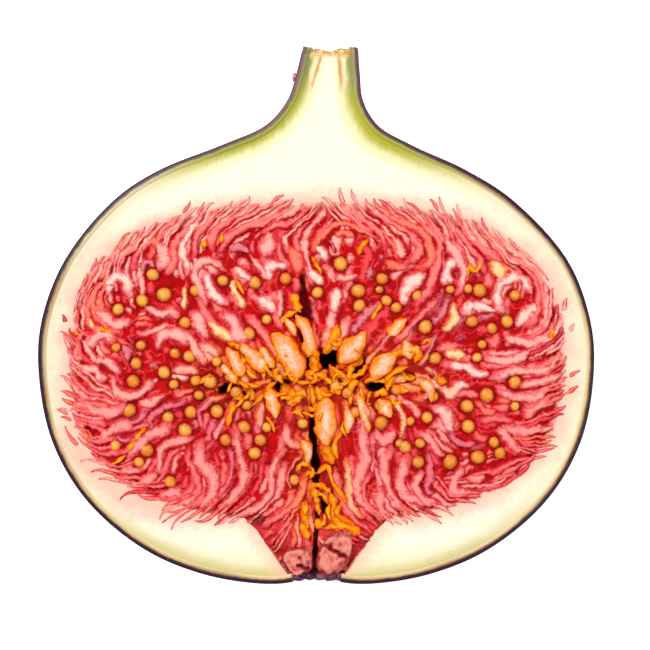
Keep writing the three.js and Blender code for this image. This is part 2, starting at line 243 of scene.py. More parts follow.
class Finish(Socket):
    """A material in the making: its principled shader, constant settings, and inputs that patterns feed."""

    def __init__(self, name, **settings):
        self.material = bpy.data.materials.new(name)
        self.material.use_nodes = True
        super().__init__(self.material.node_tree, None)
        self.shader = self.tree.nodes["Principled BSDF"]
        for key, value in settings.items():
            self.shader.inputs[key.replace("_", " ")].default_value = value

    def attribute(self, name):
        """A number kept on the mesh's points."""
        return self.add("ShaderNodeAttribute", {"attribute_name": name}, output=2)

    def place(self):
        """Object coordinates."""
        return self.add("ShaderNodeTexCoord", output=3)

    def along_axis(self, axis):
        """How far places lie along an axis, 0 for X, 1 for Y and 2 for Z."""
        return self.add("ShaderNodeSeparateXYZ", inputs={0: self.place()}, output=axis)

    def noise(self, size, detail=3.0, shortened=1.0):
        """Cloudy noise about size metres across, from 0 to 1. Shortening Y draws it out along the fruit."""
        place = self.place()
        if shortened != 1:
            place = self.add("ShaderNodeMapping", inputs={"Vector": place, "Scale": (1.0, shortened, 1.0)})
        inputs = {"Vector": place, "Scale": 1 / size, "Detail": detail, "Roughness": 0.55}
        return self.add("ShaderNodeTexNoise", inputs=inputs)

    def cells(self, size):
        """Distance to the nearest of points scattered about size metres apart."""
        return self.add("ShaderNodeTexVoronoi", inputs={"Vector": self.place(), "Scale": 1 / size})

    def feed(self, **sockets):
        """Links patterns to the shader's inputs, by name."""
        for key, socket in sockets.items():
            self.tree.links.new(socket.output, self.shader.inputs[key.replace("_", " ")])

    def bump(self, height, distance, strength=1.0):
        inputs = {"Height": height, "Distance": distance, "Strength": strength}
        self.feed(Normal=self.add("ShaderNodeBump", inputs=inputs))


def finish_piece(piece, finish):
    """Gives a piece its material and lets it ride on the fruit's one body."""
    piece.data.materials.clear()
    piece.data.materials.append(finish.material)
    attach(piece, "root")


# The skin. A real fig's peel is thin and tender, dark purple under a pale bloom, green towards the neck
# and the stalk, with faint ribs from stalk to eye. The knife shows it edge on: a purple line with an olive
# layer under it.
SKIN_ROWS = 230
SKIN_AROUND = 130
RIBS = 10
EYE_SHARE = 1 - 1 / (len(OUTLINE_MM) - 1)
RIB_HEIGHT = 0.16 * MM
STALK_TEAR = 0.45 * MM


def half_rings(rows, around, inset, relief=None):
    """Half rings of the body under the cut face, moved in by inset: points [row, step, xyz]."""
    t, angle = np.meshgrid(np.linspace(0, EYE_SHARE, rows), np.linspace(0, np.pi, around), indexing="ij")
    places = through(OUTLINE_MM, t[:, 0]) * MM
    ahead = np.gradient(places[:, :2], axis=0)
    ahead /= np.linalg.norm(ahead, axis=1)[:, None]
    y = np.maximum(places[:, 0] - inset * ahead[:, 1], cad_low.y + INSIDE_BOUNDS)
    half = np.maximum(places[:, 1] + inset * ahead[:, 0], 0.15 * MM)
    y[0] = places[0, 0]
    radius = half[:, None] + (relief(t, angle) if relief else 0)
    return np.stack(
        [
            places[:, 2, None] + radius * np.cos(angle),
            np.broadcast_to(y[:, None], angle.shape),
            np.maximum(CUT - radius * np.sin(angle), inset),
        ],
        axis=2,
    )


def ribs(t, angle):
    """How far the skin sinks between its ribs, at a share of the way to the eye and an angle round it."""
    wide = np.cos(2 * RIBS * angle + 0.5 * np.sin(2 * angle + 3 * t)) - 1
    fine = 0.35 * np.sin(5.7 * RIBS * angle + 2.2 * np.sin(5 * t)) * np.sin(9 * t + 4 * angle)
    return RIB_HEIGHT * np.sin(np.pi * t) * (wide + fine)


def shell(name, outer, inner):
    """A closed wall between two grids of points, with depth 0 on the outer one and 1 on the inner one."""
    rows, around, _ = outer.shape
    ring = np.concatenate([outer, inner[:, ::-1]], axis=1)
    faces = grid_faces(rows, 2 * around)
    for row in (0, rows - 1):
        first = row * 2 * around
        for j in range(around - 1):
            back = 2 * around - 1 - j
            faces.append((first + j, first + j + 1, first + back - 1, first + back))
    depth = np.concatenate([np.zeros((rows, around)), np.ones((rows, around))], axis=1)
    return mesh_piece(name, ring.reshape(-1, 3), faces, [("depth", depth)])


def torn(points, depth, seed):
    """Points near the stalk's end, moved down by up to depth so that the end is ragged."""
    flat = points.reshape(-1, 3)
    near_end = smooth((flat[:, 1] - (OUTLINE_MM[0, 0] * MM - 2 * depth)) / depth)
    fall = depth * near_end * np.clip(0.5 + 0.6 * lumps(flat, 0.6 * MM, seed), 0, 1)
    flat = flat - np.outer(fall, (0, 1, 0))
    return flat.reshape(points.shape)


skin = shell(
    "skin_peel",
    torn(half_rings(SKIN_ROWS, SKIN_AROUND, 0.0, ribs), STALK_TEAR, 8),
    torn(half_rings(SKIN_ROWS, SKIN_AROUND, SKIN_THICKNESS), STALK_TEAR, 8),
)

peel = Finish(
    "purple_peel",
    Roughness=0.42,
    Specular_IOR_Level=0.3,
    Coat_Weight=0.1,
    Coat_Roughness=0.3,
    Subsurface_Weight=0.06,
    Subsurface_Radius=(0.004, 0.0012, 0.0008),
)
where = peel.along_axis(1)
cloud = peel.noise(7 * MM)
streaks = peel.noise(1.3 * MM, shortened=0.16)
neck = (where + cloud * (8 * MM) + streaks * (6 * MM)).step(17 * MM, 30 * MM)
purple = cloud.step(0.35, 0.65).mix("24101f", "43203a")
purple = streaks.step(0.5, 0.75).mix(purple, "5b3046")
green = streaks.step(0.4, 0.7).mix("6f7a33", "9aa048")
outside = neck.mix(purple, green)
bloom = peel.noise(2.5 * MM, detail=5).step(0.45, 0.72) * 0.4
outside = bloom.mix(outside, "8a7396")
specks = peel.cells(1.5 * MM).step(0.13, 0.07)
outside = (specks * 0.5).mix(outside, "b79f86")
depth = peel.attribute("depth")
outside = depth.step(0.0, 0.06).mix(outside, neck.mix("35102a", "6a4250"))
edge = (depth + (peel.noise(0.9 * MM) - 0.5) * 0.25).step(0.36, 0.68)
brown = peel.noise(5 * MM).step(0.35, 0.65).mix("a87c48", "caa46c")
tan = (depth + (cloud - 0.5) * 0.4).step(0.55, 1.0).mix(brown, "e6d2a0")
side = peel.along_axis(0)
shoulder = side.step(-4 * MM, 4 * MM).mix("e6d2a2", "a8824c")
shoulder = (depth + (cloud - 0.5) * 0.3).step(0.6, 1.0).mix(shoulder, "f0e0b4")
tan = where.step(2 * MM, 9 * MM).mix(tan, shoulder)
tan = where.step(12 * MM, 17 * MM).mix(tan, "a9ab42")
tan = where.step(20 * MM, 25 * MM).mix(tan, streaks.mix("80813f", "a09c62"))
peel.feed(Base_Color=edge.mix(outside, tan))
peel.bump(peel.noise(0.5 * MM, detail=4) + streaks, 0.06 * MM, 0.5)
finish_piece(skin, peel)
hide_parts("skin")

# The flesh. The pale wall under the skin is moist and soft, thick under the stalk and thin at the sides.
# It is one piece with the stalk's core, and ends in two lips beside the eye.
FLESH_DROP = 0.07 * MM
FLESH_UNDER_SKIN = 0.12 * MM
FLESH_UNDER_STALK_END = 0.25 * MM
FLESH_TURNS = 880
FLESH_AROUND = 30
FLESH_ACROSS = 22
RAGGED_FROM = 26.2 * MM


def chamber_reach(across, along, down=0.0):
    """How far the pulp's chamber reaches from its middle in a direction: the rounded box, or the funnel."""
    n = CHAMBER_SQUARENESS
    flat = np.hypot(across, down) if np.ndim(down) else np.abs(across)
    box = (np.abs(flat / CHAMBER_HALF[0]) ** n + np.abs(along / CHAMBER_HALF[1]) ** n) ** (-1 / n)
    steepness = np.where(along < 0, np.abs(flat / np.minimum(along, -1e-9)), 99)
    wall = FUNNEL_HALF / (CHAMBER_MIDDLE - FUNNEL_Y)
    wall_y = np.interp(steepness, wall, CHAMBER_MIDDLE - FUNNEL_Y)
    funnel = np.where(steepness < wall[-1], wall_y / np.maximum(-along, 1e-9), 0)
    return np.maximum(box, funnel)


outline_fine = through(OUTLINE_MM, np.linspace(0, 1, 900)) * MM
outline_ahead = np.gradient(outline_fine[:, :2], axis=0)
outline_ahead /= np.linalg.norm(outline_ahead, axis=1)[:, None]
flesh_inset = SKIN_THICKNESS - FLESH_UNDER_SKIN
flesh_y = outline_fine[:, 0] - flesh_inset * outline_ahead[:, 1]
flesh_half = np.maximum(outline_fine[:, 1] + flesh_inset * outline_ahead[:, 0], 0.02 * MM)
flesh_y = np.minimum(flesh_y, OUTLINE_MM[0, 0] * MM - FLESH_UNDER_STALK_END)
flesh_angle = np.arctan2(flesh_half, flesh_y - CHAMBER_MIDDLE)
flesh_radius = np.hypot(flesh_half, flesh_y - CHAMBER_MIDDLE)
TIP_ANGLE = flesh_angle[0]
EYE_ANGLE = np.pi - np.arctan(FUNNEL_HALF[1] / (CHAMBER_MIDDLE - FUNNEL_Y[1]))


def flesh_reach(angle):
    """How far the flesh reaches from the chamber's middle, at an angle from the stalk."""
    tip = flesh_y[0] - CHAMBER_MIDDLE
    return np.where(angle < TIP_ANGLE, tip / np.cos(angle), np.interp(angle, flesh_angle, flesh_radius))


def flesh_points():
    """Rings of the flesh, one at each angle from the stalk: [ring, step, xyz and the way from the pulp]."""
    over_tip, down_side = np.linspace(0, TIP_ANGLE, 12), np.linspace(TIP_ANGLE, EYE_ANGLE, FLESH_TURNS)
    turns = np.concatenate([over_tip, down_side[1:]])
    around = np.linspace(0, np.pi, FLESH_AROUND)
    share = smooth(np.linspace(0, 1, FLESH_ACROSS))
    rows = []
    for turn in turns:
        outer = flesh_reach(turn)

        def inner_at(b):
            across, down = np.sin(turn) * np.cos(b), np.sin(turn) * np.sin(b)
            return np.minimum(chamber_reach(across, np.cos(turn), down), outer)

        lines = [
            (np.full(FLESH_AROUND, outer), around, np.ones(FLESH_AROUND)),
            (outer + (inner_at(np.pi) - outer) * share, np.full(FLESH_ACROSS, np.pi), 1 - share),
            (inner_at(around[::-1]), around[::-1], np.zeros(FLESH_AROUND)),
            (inner_at(0.0) + (outer - inner_at(0.0)) * share, np.zeros(FLESH_ACROSS), share),
        ]
        reach, angle, part = (np.concatenate(each) for each in zip(*lines))
        gap = outer - inner_at(0.0)
        x = reach * np.sin(turn) * np.cos(angle)
        y = CHAMBER_MIDDLE + reach * np.cos(turn)
        z = CUT - reach * np.sin(turn) * np.sin(angle)
        rows.append(np.stack([x, y, z, part * gap], axis=1))
    return np.array(rows)


flesh_grid = flesh_points()
rows, columns, _ = flesh_grid.shape
flat = flesh_grid.reshape(-1, 4)
place = flat[:, :3].copy()
lean_at = np.interp(place[:, 1], outline_fine[::-1, 0], outline_fine[::-1, 2])
place[:, 0] += np.where(place[:, 1] > 8 * MM, lean_at, 0)
outline_tree = kdtree.KDTree(len(outline_fine))
for i, (height, half, _) in enumerate(outline_fine):
    outline_tree.insert((half, height, 0), i)
outline_tree.balance()
from_axis = np.hypot(flat[:, 0], CUT - flat[:, 2])
from_skin = np.array([outline_tree.find((far, height, 0))[2] for far, height in zip(from_axis, flat[:, 1])])
from_skin = np.maximum(from_skin - SKIN_THICKNESS, 0)
on_top = place[:, 2] > CUT - 0.01 * MM
soft_rise = 0.03 * MM * (lumps(place, 2.2 * MM, 3) - 1)
soft_drop = 0.01 * MM + (FLESH_DROP - soft_rise) * smooth(from_skin / (0.7 * MM))
place[:, 2] -= np.where(on_top, soft_drop, FLESH_DROP)
place[:, 2] -= 0.05 * MM * smooth(1 - flat[:, 3] / (0.5 * MM)) * on_top
ragged = smooth((place[:, 1] - RAGGED_FROM) / (0.5 * MM))
hollow_end = np.clip(1 - ((place[:, 0] - OUTLINE_MM[0, 2] * MM) / (2.3 * MM)) ** 2, 0, 1)
place[:, 1] -= MM * ragged * (0.25 * hollow_end + 0.15 + 0.2 * lumps(place, 0.5 * MM, 4))
flesh = mesh_piece(
    "flesh_wall",
    place,
    grid_faces(rows, columns),
    [("from_pulp", flat[:, 3] / MM), ("from_skin", from_skin / MM)],
)

cream = Finish(
    "cream_flesh",
    Roughness=0.38,
    Specular_IOR_Level=0.25,
    Coat_Weight=0.1,
    Coat_Roughness=0.25,
    Subsurface_Weight=0.25,
    Subsurface_Radius=(0.0012, 0.0008, 0.0004),
    Subsurface_Scale=0.6,
)
from_pulp = cream.attribute("from_pulp")
from_skin = cream.attribute("from_skin")
where = cream.along_axis(1)
cloud = cream.noise(3 * MM)
fine = cream.noise(0.5 * MM, detail=4)
body = cloud.step(0.3, 0.7).mix("faf3de", "f8efd2")
body = where.step(6 * MM, 16 * MM).mix(body, "f8f3d8")
body = (where.step(-22 * MM, -26 * MM) * 0.45).mix(body, "e8e2a4")
tan = (from_skin + (cloud - 0.5) * 1.4).step(2.1, 0.0)
body = (tan * 0.42).mix(body, "e8c896")
olive = (from_skin + (cloud - 0.5) * 1.0).step(1.3, 0.0) * where.step(-17 * MM, -24 * MM)
body = (olive * 0.65).mix(body, "b9b45c")
lines = cream.noise(0.35 * MM, shortened=0.2)
inside = from_skin + (lines - 0.5) * 0.6
green = where.step(20 * MM, 25 * MM).mix("adab2c", "8c8b48")
pale_green = where.step(10 * MM, 17 * MM) * inside.step(2.4, 0.6) * 0.6
body = pale_green.mix(body, "e4dc84")
body = (inside.step(1.15, 0.1) * where.step(12 * MM, 17 * MM)).mix(body, green)
pale_line = abs(inside - 0.75).step(0.35, 0.1) * where.step(22.5 * MM, 24.5 * MM)
body = (pale_line * 0.8).mix(body, "f3e3b4")
brown_line = abs(inside - 1.15).step(0.25, 0.05) * where.step(21.5 * MM, 24 * MM)
body = (brown_line * 0.8).mix(body, "c98442")
side = cream.along_axis(0)
corner = side.step(-9 * MM, -16 * MM) * where.step(-9 * MM, -15 * MM)
blush = (from_pulp - corner * 1.4 + (cloud - 0.5) * 2.4 + (fine - 0.5) * 1.6).step(2.4, -0.4)
body = (blush * 0.8).mix(body, "f8b29c")
cut_end = (where + (fine - 0.5) * (0.9 * MM) + (lines - 0.5) * (0.8 * MM)).step(25.4 * MM, 26.3 * MM)
body = cut_end.mix(body, fine.step(0.4, 0.65).mix("cf8a40", "eccd8e"))
cream.feed(Base_Color=body)
cream.bump(fine + cloud, 0.05 * MM, 0.6)
finish_piece(flesh, cream)
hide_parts("flesh")

# The florets' paths. Hundreds of tiny flowers line the fig and point to its middle, thin and pink at the
# rim, pale and swollen further in. The large ones are listed by colour: a floret's half width and the
# points along its middle, in millimetres on the cut face.
FLORETS_MM = {
    "pale": (
        (0.6, (-20.9, 2.0), (-20.6, 3.4), (-19.8, 3.8), (-18.9, 3.0), (-18.9, 1.9)),
        (0.34, (-12.8, 4.0), (-13.2, 5.5), (-13.4, 6.8), (-12.8, 8.0), (-12.2, 8.9), (-11.4, 10.4)),
        (0.5, (-11.2, 4.3), (-10.7, 2.8), (-10.1, 1.8), (-8.8, 1.1)),
        (0.42, (-8.2, 4.8), (-7.3, 4.0), (-6.5, 3.5)),
        (0.5, (-5.0, 3.6), (-4.8, 4.8), (-3.8, 5.0), (-2.9, 4.5)),
        (0.8, (-6.0, 1.6), (-5.0, 1.2), (-4.3, 0.3)),
        (0.5, (-0.1, 7.0), (0.6, 6.2), (1.1, 5.5)),
        (0.64, (10.8, 4.2), (9.4, 3.0), (8.8, 2.1), (8.6, 1.1)),
        (0.46, (-0.7, 4.5), (-0.1, 3.8), (0.6, 3.0)),
        (0.64, (2.0, 2.6), (1.9, 1.6), (1.9, 0.3)),
        (0.46, (13.9, 5.5), (13.2, 4.5), (12.9, 3.0)),
        (0.52, (18.6, 0.3), (18.1, 1.8), (18.6, 3.0), (19.8, 3.6), (20.9, 3.5), (21.4, 2.1)),
        (0.46, (14.8, -0.1), (15.3, 0.9), (16.6, 0.8), (17.9, 0.2)),
        (0.54, (20.2, -1.2), (21.1, 0.1), (21.9, 1.1)),
        (0.48, (13.3, -5.0), (14.8, -5.2), (15.9, -5.8), (17.2, -6.0)),
        (0.48, (12.6, -7.2), (13.3, -8.1), (14.2, -7.2), (15.3, -7.2)),
        (0.64, (11.8, -9.2), (12.7, -9.8), (13.2, -10.8), (13.7, -11.7)),
        (0.5, (11.4, -11.3), (12.4, -11.1), (13.1, -11.8)),
        (0.5, (18.9, -11.3), (20.6, -11.7), (22.8, -11.2)),
        (
            0.58, (5.0, -9.6), (4.7, -11.7), (4.8, -13.2), (4.8, -14.7),
            (4.3, -16.1), (4.0, -17.6), (4.7, -18.9), (6.0, -20.2),
        ),
        (0.66, (5.8, -11.8), (6.8, -12.6), (7.8, -11.7)),
        (0.58, (9.2, -14.2), (8.6, -15.8), (8.3, -17.1), (9.3, -18.4), (11.1, -19.1)),
        (
            0.48, (-8.2, -11.2), (-8.0, -13.1), (-7.5, -14.7),
            (-7.3, -16.6), (-8.1, -17.9), (-9.3, -19.1), (-10.6, -20.1),
        ),
        (0.52, (-3.0, -11.2), (-3.0, -12.3), (-2.2, -12.9), (-1.4, -13.3)),
        (
            0.7, (-11.4, -12.7), (-11.7, -14.6), (-10.8, -15.8),
            (-10.2, -16.9), (-10.7, -18.4), (-11.8, -19.8),
        ),
        (0.64, (-14.6, -10.9), (-15.7, -11.8), (-16.9, -12.2), (-17.9, -13.2), (-18.8, -14.4)),
        (0.64, (-21.8, -12.6), (-20.8, -11.8), (-19.6, -11.2), (-18.4, -11.2)),
        (0.44, (-19.8, -15.8), (-18.9, -15.6), (-18.2, -15.6)),
        (0.6, (-22.4, -3.5), (-22.4, -2.6), (-21.9, -2.1), (-21.1, -2.0), (-20.2, -2.6)),
        (0.46, (-22.2, -4.7), (-21.2, -4.5), (-20.4, -5.2), (-19.9, -6.0)),
        (0.44, (-24.6, -5.3), (-23.1, -5.5), (-22.1, -5.5), (-21.4, -6.7)),
        (0.5, (-20.6, -6.3), (-20.1, -7.5), (-19.1, -8.2), (-17.6, -7.8), (-16.4, -6.8)),
        (0.62, (-24.9, -8.9), (-23.1, -9.3), (-21.6, -9.8), (-20.1, -9.6), (-19.2, -8.9)),
        (0.52, (-22.1, 0.9), (-21.4, -0.1), (-20.2, -0.9), (-18.6, -0.8)),
        (0.46, (-17.2, 0.8), (-15.7, 0.1), (-14.7, 0.3), (-13.8, -0.2)),
        (0.64, (-15.8, -3.4), (-15.7, -2.4), (-14.7, -1.9), (-13.7, -2.1), (-12.9, -3.0)),
        (0.44, (-13.6, -1.6), (-12.6, -2.6), (-11.8, -3.9), (-11.2, -5.0)),
        (0.68, (-12.4, 0.3), (-11.6, -1.1), (-10.9, -2.2)),
        (0.52, (-11.7, -3.0), (-10.7, -3.5), (-9.8, -4.2)),
        (0.68, (-9.2, 0.1), (-8.3, -0.9), (-7.8, -1.9), (-7.2, -2.9)),
    ),
    "pink": (
        (0.7, (-16.1, 7.3), (-15.4, 6.3), (-15.3, 5.2), (-15.7, 4.5)),
        (0.8, (-4.8, 8.1), (-4.8, 7.0), (-5.2, 5.8)),
        (0.4, (-11.1, 0.9), (-11.7, 2.8), (-12.1, 4.2), (-11.6, 5.2), (-10.3, 5.3), (-9.2, 4.3)),
        (0.32, (-6.5, 5.8), (-5.7, 4.8), (-5.2, 3.5)),
        (0.34, (-3.8, 2.4), (-3.6, 0.9), (-3.9, -0.1)),
        (0.5, (8.0, 7.5), (8.3, 6.5), (8.6, 5.8)),
        (0.4, (1.9, 4.0), (2.9, 3.5), (4.0, 4.0)),
        (0.48, (12.7, 8.1), (13.7, 6.5), (14.4, 5.3), (14.8, 4.0), (14.2, 2.2)),
        (0.46, (18.9, -1.8), (19.6, -2.5), (21.1, -2.8), (22.6, -2.6), (23.6, -1.9)),
        (0.48, (16.8, -3.9), (17.6, -4.5), (18.9, -4.7), (20.4, -4.2), (21.4, -3.5)),
        (0.4, (17.4, -6.5), (18.6, -6.2), (20.1, -5.5), (21.9, -5.8), (23.4, -5.2), (24.4, -3.8)),
        (0.4, (20.4, -7.3), (21.9, -6.8), (23.4, -6.5), (24.4, -5.8)),
        (0.52, (18.2, -7.7), (19.9, -8.2), (21.4, -8.4), (23.2, -7.5)),
        (0.5, (20.9, -10.2), (21.9, -9.3), (23.8, -8.7)),
        (0.46, (10.4, -11.7), (11.3, -12.6), (11.9, -13.4), (12.8, -14.2)),
        (0.48, (14.7, -15.2), (14.1, -16.2), (13.7, -17.2), (14.4, -17.9), (16.4, -17.9)),
        (0.52, (18.2, -11.6), (19.4, -12.7), (20.4, -13.8)),
        (0.42, (17.8, -16.6), (18.9, -16.1), (19.8, -15.4)),
        (0.42, (15.2, -16.1), (15.8, -16.6), (16.8, -16.4)),
        (0.4, (3.8, -8.2), (4.7, -9.2), (5.2, -10.4)),
        (0.48, (7.5, -13.3), (6.8, -14.7), (6.8, -16.1), (7.3, -17.6), (8.3, -19.1), (9.9, -20.1)),
        (0.44, (10.7, -15.7), (9.9, -17.1), (10.6, -18.4), (11.6, -19.2)),
        (0.5, (6.5, -17.4), (6.2, -18.6), (6.8, -19.8), (8.0, -20.6)),
        (
            0.42, (-3.0, -13.4), (-4.2, -14.8), (-4.5, -16.2),
            (-4.5, -17.6), (-5.5, -18.9), (-7.0, -19.9), (-8.1, -20.6),
        ),
        (0.42, (-15.6, -16.1), (-15.7, -14.3), (-15.2, -13.2), (-14.2, -12.8), (-12.4, -12.4)),
        (0.52, (-17.9, -17.1), (-16.9, -16.6), (-16.1, -15.8)),
        (0.52, (-15.8, -18.1), (-14.7, -17.9), (-13.4, -17.6)),
        (0.48, (-17.9, -8.9), (-16.6, -8.8), (-15.4, -8.2)),
        (0.46, (-14.2, -5.5), (-13.2, -5.5), (-11.8, -5.8)),
        (0.5, (-5.5, -8.8), (-5.7, -10.1), (-5.5, -11.2)),
        (0.3, (-9.1, -10.3), (-9.8, -11.3), (-10.1, -12.6)),
    ),
    "rose": (
        (0.35, (-18.2, 4.3), (-18.1, 5.7), (-17.1, 6.8), (-15.8, 7.8), (-14.3, 9.1), (-12.9, 9.8)),
        (0.45, (-14.9, 3.9), (-14.2, 5.5), (-14.3, 6.8), (-13.2, 8.3), (-12.2, 9.2)),
        (0.4, (-12.2, 5.8), (-12.2, 7.2), (-11.8, 8.2), (-10.8, 9.2), (-9.8, 10.6)),
        (0.44, (-10.3, 6.3), (-10.6, 7.7), (-9.7, 8.8), (-8.2, 9.8), (-6.5, 10.6), (-5.5, 11.7)),
        (0.36, (-9.6, 6.3), (-8.7, 7.8), (-7.0, 8.8), (-5.0, 9.8), (-3.0, 10.9)),
        (0.3, (-7.2, 8.6), (-5.2, 9.3), (-3.2, 10.2), (-1.9, 10.9)),
        (0.34, (-5.5, 8.3), (-4.0, 8.8), (-2.4, 9.4), (-0.8, 10.7)),
        (0.35, (3.5, 11.8), (3.6, 10.6), (5.2, 9.2), (6.5, 8.0), (7.0, 6.5)),
        (0.3, (2.5, 11.8), (2.9, 10.2), (4.2, 9.1), (5.7, 8.2)),
        (0.38, (5.0, 11.1), (6.2, 9.9), (8.1, 8.9), (9.8, 7.7), (10.4, 6.5), (9.8, 5.5), (8.8, 5.2)),
        (
            0.46, (9.7, 10.2), (10.8, 8.9), (12.2, 7.5),
            (12.2, 5.7), (11.8, 4.0), (11.1, 2.2), (9.8, 0.8),
        ),
        (0.3, (11.3, 9.8), (12.1, 8.4), (12.8, 7.2)),
        (0.36, (13.4, 9.6), (14.3, 8.1), (15.3, 6.8), (16.4, 5.5), (16.9, 4.0)),
        (0.46, (14.8, 9.4), (15.4, 8.0), (16.6, 6.8), (17.8, 5.8), (18.4, 4.8)),
        (
            0.36, (17.1, 7.8), (18.4, 6.5), (19.9, 5.5), (21.4, 4.7),
            (22.4, 3.4), (22.9, 1.4), (22.9, -0.8), (22.1, -1.9), (20.4, -2.4),
        ),
        (0.36, (16.4, -10.8), (17.9, -10.4), (19.8, -10.8)),
        (0.32, (16.9, -17.1), (18.4, -17.1), (19.9, -16.4), (20.8, -15.4)),
        (0.36, (10.8, -18.4), (12.1, -19.1), (14.1, -19.4), (15.6, -18.8)),
        (0.32, (5.5, -15.7), (4.8, -17.1), (4.8, -18.4), (5.8, -19.8), (7.2, -20.6)),
        (0.42, (-1.1, -15.9), (-1.4, -17.6), (-2.1, -18.9), (-3.9, -20.2), (-5.2, -21.4)),
        (
            0.4, (-12.7, -13.4), (-12.9, -14.3), (-12.4, -15.6),
            (-11.9, -17.1), (-12.4, -18.4), (-13.7, -19.1), (-15.2, -19.9),
        ),
        (0.3, (-22.1, -15.2), (-20.6, -16.1), (-18.9, -17.1), (-17.2, -17.6)),
        (
            0.32, (-19.2, -17.6), (-17.2, -18.1), (-15.4, -18.6),
            (-13.8, -18.2), (-12.7, -17.6), (-12.2, -16.1),
        ),
        (0.32, (-14.8, -19.9), (-13.1, -19.6), (-11.7, -18.6), (-11.2, -17.2)),
        (0.34, (-11.8, -19.9), (-10.6, -19.2), (-9.7, -18.1)),
        (0.34, (12.3, 1.6), (10.8, 0.1), (9.2, -1.4), (8.0, -2.8)),
        (0.3, (-20.1, 2.8), (-21.6, 3.1), (-22.4, 1.9), (-22.9, 0.2), (-22.4, -1.1)),
        (0.28, (-21.2, 4.5), (-22.4, 3.2), (-23.2, 1.8), (-23.6, 0.1)),
        (0.3, (-19.1, 6.0), (-17.9, 7.2), (-16.9, 8.2), (-15.8, 9.2)),
        (0.3, (-20.1, 5.2), (-19.1, 6.5), (-18.2, 7.7), (-17.6, 8.6)),
        (0.3, (-23.2, -1.6), (-23.9, -2.8), (-23.6, -4.2), (-24.1, -5.2)),
        (0.3, (-24.2, -6.2), (-23.9, -7.5), (-23.4, -8.2), (-22.4, -8.4)),
        (0.3, (-24.6, -9.9), (-23.4, -10.6), (-22.1, -10.9), (-20.9, -10.8)),
        (0.3, (-24.4, -11.3), (-23.2, -13.3), (-21.9, -14.2)),
    ),
    "mauve": (
        (0.26, (-17.6, 4.2), (-17.4, 5.0), (-16.8, 5.3), (-16.2, 4.8)),
        (0.4, (-8.6, 6.2), (-7.7, 6.8), (-6.8, 6.3)),
        (0.44, (5.7, 4.8), (5.3, 4.2), (5.2, 3.5)),
        (0.2, (1.2, 7.5), (2.0, 6.2)),
        (0.42, (13.2, -11.9), (14.1, -12.7), (14.9, -13.1), (15.9, -12.8)),
        (0.5, (11.1, -13.7), (11.3, -14.9), (11.4, -16.2), (11.1, -17.4), (11.8, -18.1)),
        (0.2, (5.8, -12.9), (5.7, -14.2), (6.2, -15.4)),
        (0.52, (1.9, -15.8), (2.1, -16.6), (2.5, -17.4)),
        (0.18, (-1.4, -14.1), (-2.5, -15.2), (-3.0, -16.6), (-2.6, -17.6)),
        (0.24, (-8.8, -13.4), (-8.4, -14.8), (-8.8, -16.6), (-9.9, -18.4)),
        (0.26, (-20.2, -12.3), (-19.1, -12.6), (-18.4, -12.2)),
        (0.42, (-19.1, -10.8), (-17.9, -10.6), (-16.9, -9.7)),
        (0.36, (-16.4, -11.6), (-16.6, -10.4), (-15.7, -9.6), (-14.4, -9.1), (-12.9, -8.8)),
        (0.42, (-19.4, -3.0), (-18.9, -3.8), (-18.9, -4.7)),
        (0.3, (-11.4, -11.6), (-11.7, -9.8), (-10.8, -8.8), (-9.2, -8.2)),
        (0.26, (10.2, -5.2), (11.1, -4.0), (11.6, -2.9), (12.2, -1.9)),
        (0.36, (9.6, -6.7), (10.6, -6.7), (11.2, -7.7), (10.7, -8.8)),
        (0.4, (11.7, -5.5), (12.2, -6.5)),
    ),
    "peach": (
        (0.3, (-13.2, 2.9), (-13.2, 1.9), (-13.1, 0.6)),
        (0.34, (-8.3, 3.5), (-8.1, 2.1), (-7.2, 0.8)),
        (0.8, (17.6, 5.2), (18.4, 4.5), (18.8, 3.8)),
        (0.54, (12.9, -1.6), (13.8, -0.5), (13.7, 1.1)),
        (0.54, (12.9, -3.8), (13.9, -4.0), (14.8, -4.0)),
        (0.38, (3.0, -14.4), (3.2, -15.9), (3.2, -17.6), (3.5, -19.1), (4.8, -20.4)),
        (0.26, (-22.6, -0.3), (-22.4, -1.4)),
        (0.52, (-10.7, -0.8), (-9.6, -1.9), (-8.4, -2.5)),
        (0.34, (7.5, -8.2), (8.4, -9.6), (8.7, -10.8), (8.4, -12.3)),
    ),
    "coral": (
        (0.7, (-2.6, 6.8), (-2.1, 5.8), (-1.8, 4.3)),
        (0.34, (-0.5, 6.3), (0.3, 7.8), (1.4, 8.8), (3.0, 9.1), (4.5, 8.4), (6.3, 7.5)),
        (0.42, (6.7, 11.2), (7.0, 10.2), (8.8, 9.2), (10.7, 8.1), (11.4, 6.5), (11.2, 5.0), (9.9, 4.5)),
        (0.46, (6.8, 5.2), (8.1, 4.8), (9.2, 4.8)),
        (0.4, (1.9, 7.8), (2.9, 8.2), (3.8, 7.8)),
        (0.42, (15.9, -8.8), (16.9, -9.7), (18.1, -9.6)),
    ),
    "core": (
        (1.3, (-4.3, -1.9), (-3.1, -3.4), (-2.2, -4.9), (-1.95, -6.3)),
        (0.85, (-7.6, -2.9), (-6.3, -4.3), (-4.9, -5.6)),
        (0.75, (-8.9, -3.4), (-8.1, -4.7), (-7.4, -6.1)),
        (0.5, (-3.1, -0.3), (-2.6, -1.1), (-2.1, -2.0)),
        (0.72, (-2.1, -0.1), (-1.1, -1.4), (-0.7, -2.8), (-0.8, -4.1)),
        (0.8, (-4.7, -7.5), (-4.4, -8.8), (-4.05, -10.3)),
        (1.2, (4.9, -1.7), (3.8, -3.2), (2.4, -4.8)),
        (1.3, (7.8, -3.9), (6.7, -5.0), (5.6, -6.3)),
